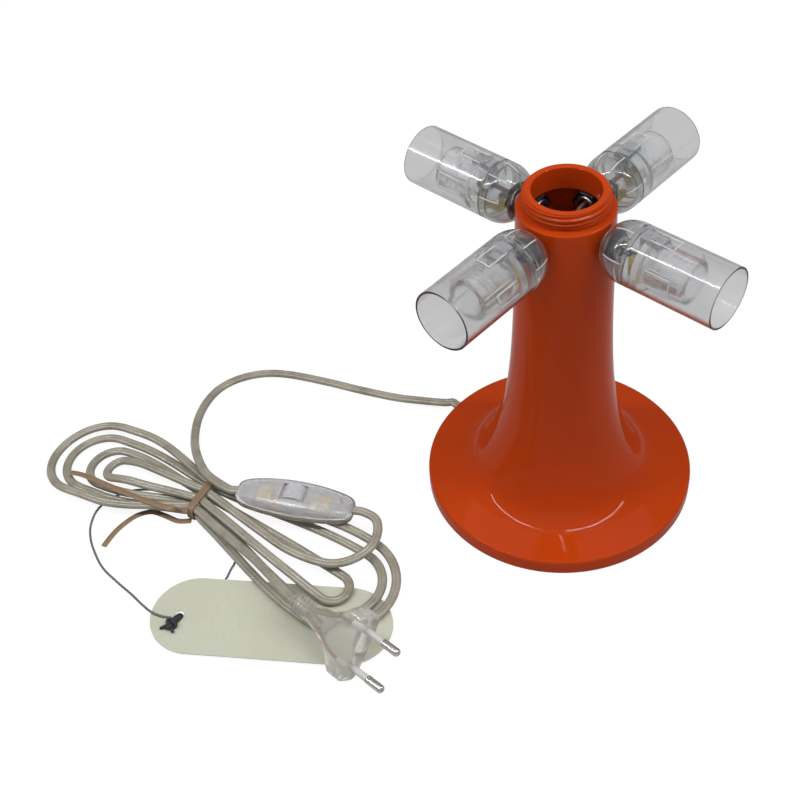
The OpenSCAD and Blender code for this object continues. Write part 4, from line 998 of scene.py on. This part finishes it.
# The thick black end in the tag's hole is partly the string going in and partly a painted shade for the hole round it.
knot = make_piece("string_knot", [
    knot_skin(knot_at, 0.85, 0.9), twine_end(1.8, knot_at, (knot_at + hole_at) / 2 + [0, 0, 0.4], hole_at),
    twine_end(0.8, knot_at, knot_at + [-1.5, -2.5, -0.4], knot_at + [-2.5, -5, -0.6]),
    twine_end(0.8, knot_at, knot_at + [2.5, -1.5, -0.2], knot_at + [4.5, -2.2, -0.5])], black_twine)

# %% [markdown]
# The wire tie is a thin strip with a wire in its middle, bent round the waist of the hank.
# One of its two tails has half a twist where it leaves the ring, and both lie as they were left.

# %% Wire tie
ring_half, ring_low, ring_high, tail_low = 12.45, 0.4, 9.45, 0.7


def strip_section(wide):
    """Flat strip with a bead for the wire: across = w/2 cos f, upward = (0.16 + 0.19 exp(-(across/0.6)^2)) sin f."""
    f = round_about(20)
    across = wide / 2 * cos(f)
    return across, (0.16 + 0.19 * exp(-((across / 0.6) ** 2))) * sin(f)


def tie_ring():
    """A rounded rectangle across the hank's axis, closed on itself."""
    corner = rounded([[0, ring_low], [ring_half, ring_low], [ring_half, ring_high], [-ring_half, ring_high],
                      [-ring_half, ring_low], [0, ring_low]], 2.5, 7)[:-1]
    even, _ = evenly(np.column_stack([corner, 0 * corner[:, 0]]), 0.8)
    line = off_axis(tie_axis, 0.0, even[:-1, 0], even[:-1, 1])
    axis = np.array([cos(radians(tie_axis)), sin(radians(tie_axis)), 0])
    out = unit(np.cross(around(line), axis))
    across, upward = strip_section(4.0)
    return skin(line[:, None] + axis * across[None, :, None] + out[:, None] * upward[None, :, None], wrap_rows=True)


def tie_tail(marks, turns):
    """A loose end: the strip's section along a path, with a twist that dies away over the first 12 mm."""
    path, gone = evenly(through(marks, 10), 0.6)
    across, upward = strip_section(3.2)
    twist = 2 * pi * turns * (1 - soft_step(gone / 12))[:, None]
    return skin(swept(path, across * cos(twist) - upward * sin(twist),
                      across * sin(twist) + upward * cos(twist)))


tails = [
    tie_tail([[-123.7, -145.8, 9.3], [-134, -151.5, 9.6], [-149, -156.5, 9.6], [-168, -161, 9.4], [-186, -164.5, 8],
              [-195, -167, 6]], 0.5),
    tie_tail([[-123.7, -145.4, tail_low], [-129, -150, tail_low], [-137, -152, tail_low], [-144.4, -154.8, tail_low],
              [-148.7, -162.2, tail_low], [-149, -174, tail_low], [-146, -185.3, tail_low]], 0.0)]
tie = make_piece("wire_tie", [tie_ring(), *tails], tie_paper, stands_for=["cord_tie"])

# %% [markdown]
# The parts that need no new shape keep their solids, and get finishes with some life in them:
# the pad of felt, the pressed plate, the ballast, the terminal block, the wires and the contacts.

# %% Finishes of the solids
felt = new_finish("felt_pad", (0.03, 0.03, 0.032), 0.95, bump=(1800, 0.0002), Sheen_Weight=0.4)
join(felt, two_tones(felt, grain(felt, 1500, detail=8.0), (0.02, 0.02, 0.022), (0.05, 0.05, 0.053)), "Base Color")
iron = metal("cast_ballast", (0.2, 0.2, 0.21), (0.11, 0.11, 0.12), 0.5, 0.75)
brown_wire = new_finish("brown_wire", (0.1, 0.045, 0.02), 0.4,
                        tones=(90, (0.12, 0.055, 0.025), (0.07, 0.03, 0.014)))
blue_wire = new_finish("blue_wire", (0.03, 0.08, 0.25), 0.4,
                       tones=(90, (0.035, 0.09, 0.28), (0.02, 0.055, 0.17)))
inner_vinyl = new_finish("inner_cord_vinyl", (0.34, 0.31, 0.24), 0.35, Coat_Weight=0.5, Coat_Roughness=0.15,
                         tones=(120, (0.4, 0.37, 0.29), (0.25, 0.22, 0.16)))
print("finishes of the solids are ready")

# %% Dress the solids
dress = {
    felt: ["base_felt"], iron: ["base_weight"], orange: ["cord_bush"], brown_wire: ["live_leads"],
    blue_wire: ["neutral_leads"], white_plastic: ["cord_clamp", "terminal_block", "cord_grips"],
    steel: ["base_plate", "base_screws", "clamp_screws", "rocker_axle", "switch_screws",
            *(side + "_terminal" for side in holder_turns)],
    brass: ["terminal_screws", "contact_arm", "switch_terminals",
            *(side + part for part in ("_tongue", "_strip") for side in holder_turns)],
    inner_vinyl: ["cord_inner"]}
for finish, names in dress.items():
    for name in names:
        solids[name].data.materials.clear()
        solids[name].data.materials.append(finish)
print(f"{sum(map(len, dress.values()))} solids dressed")
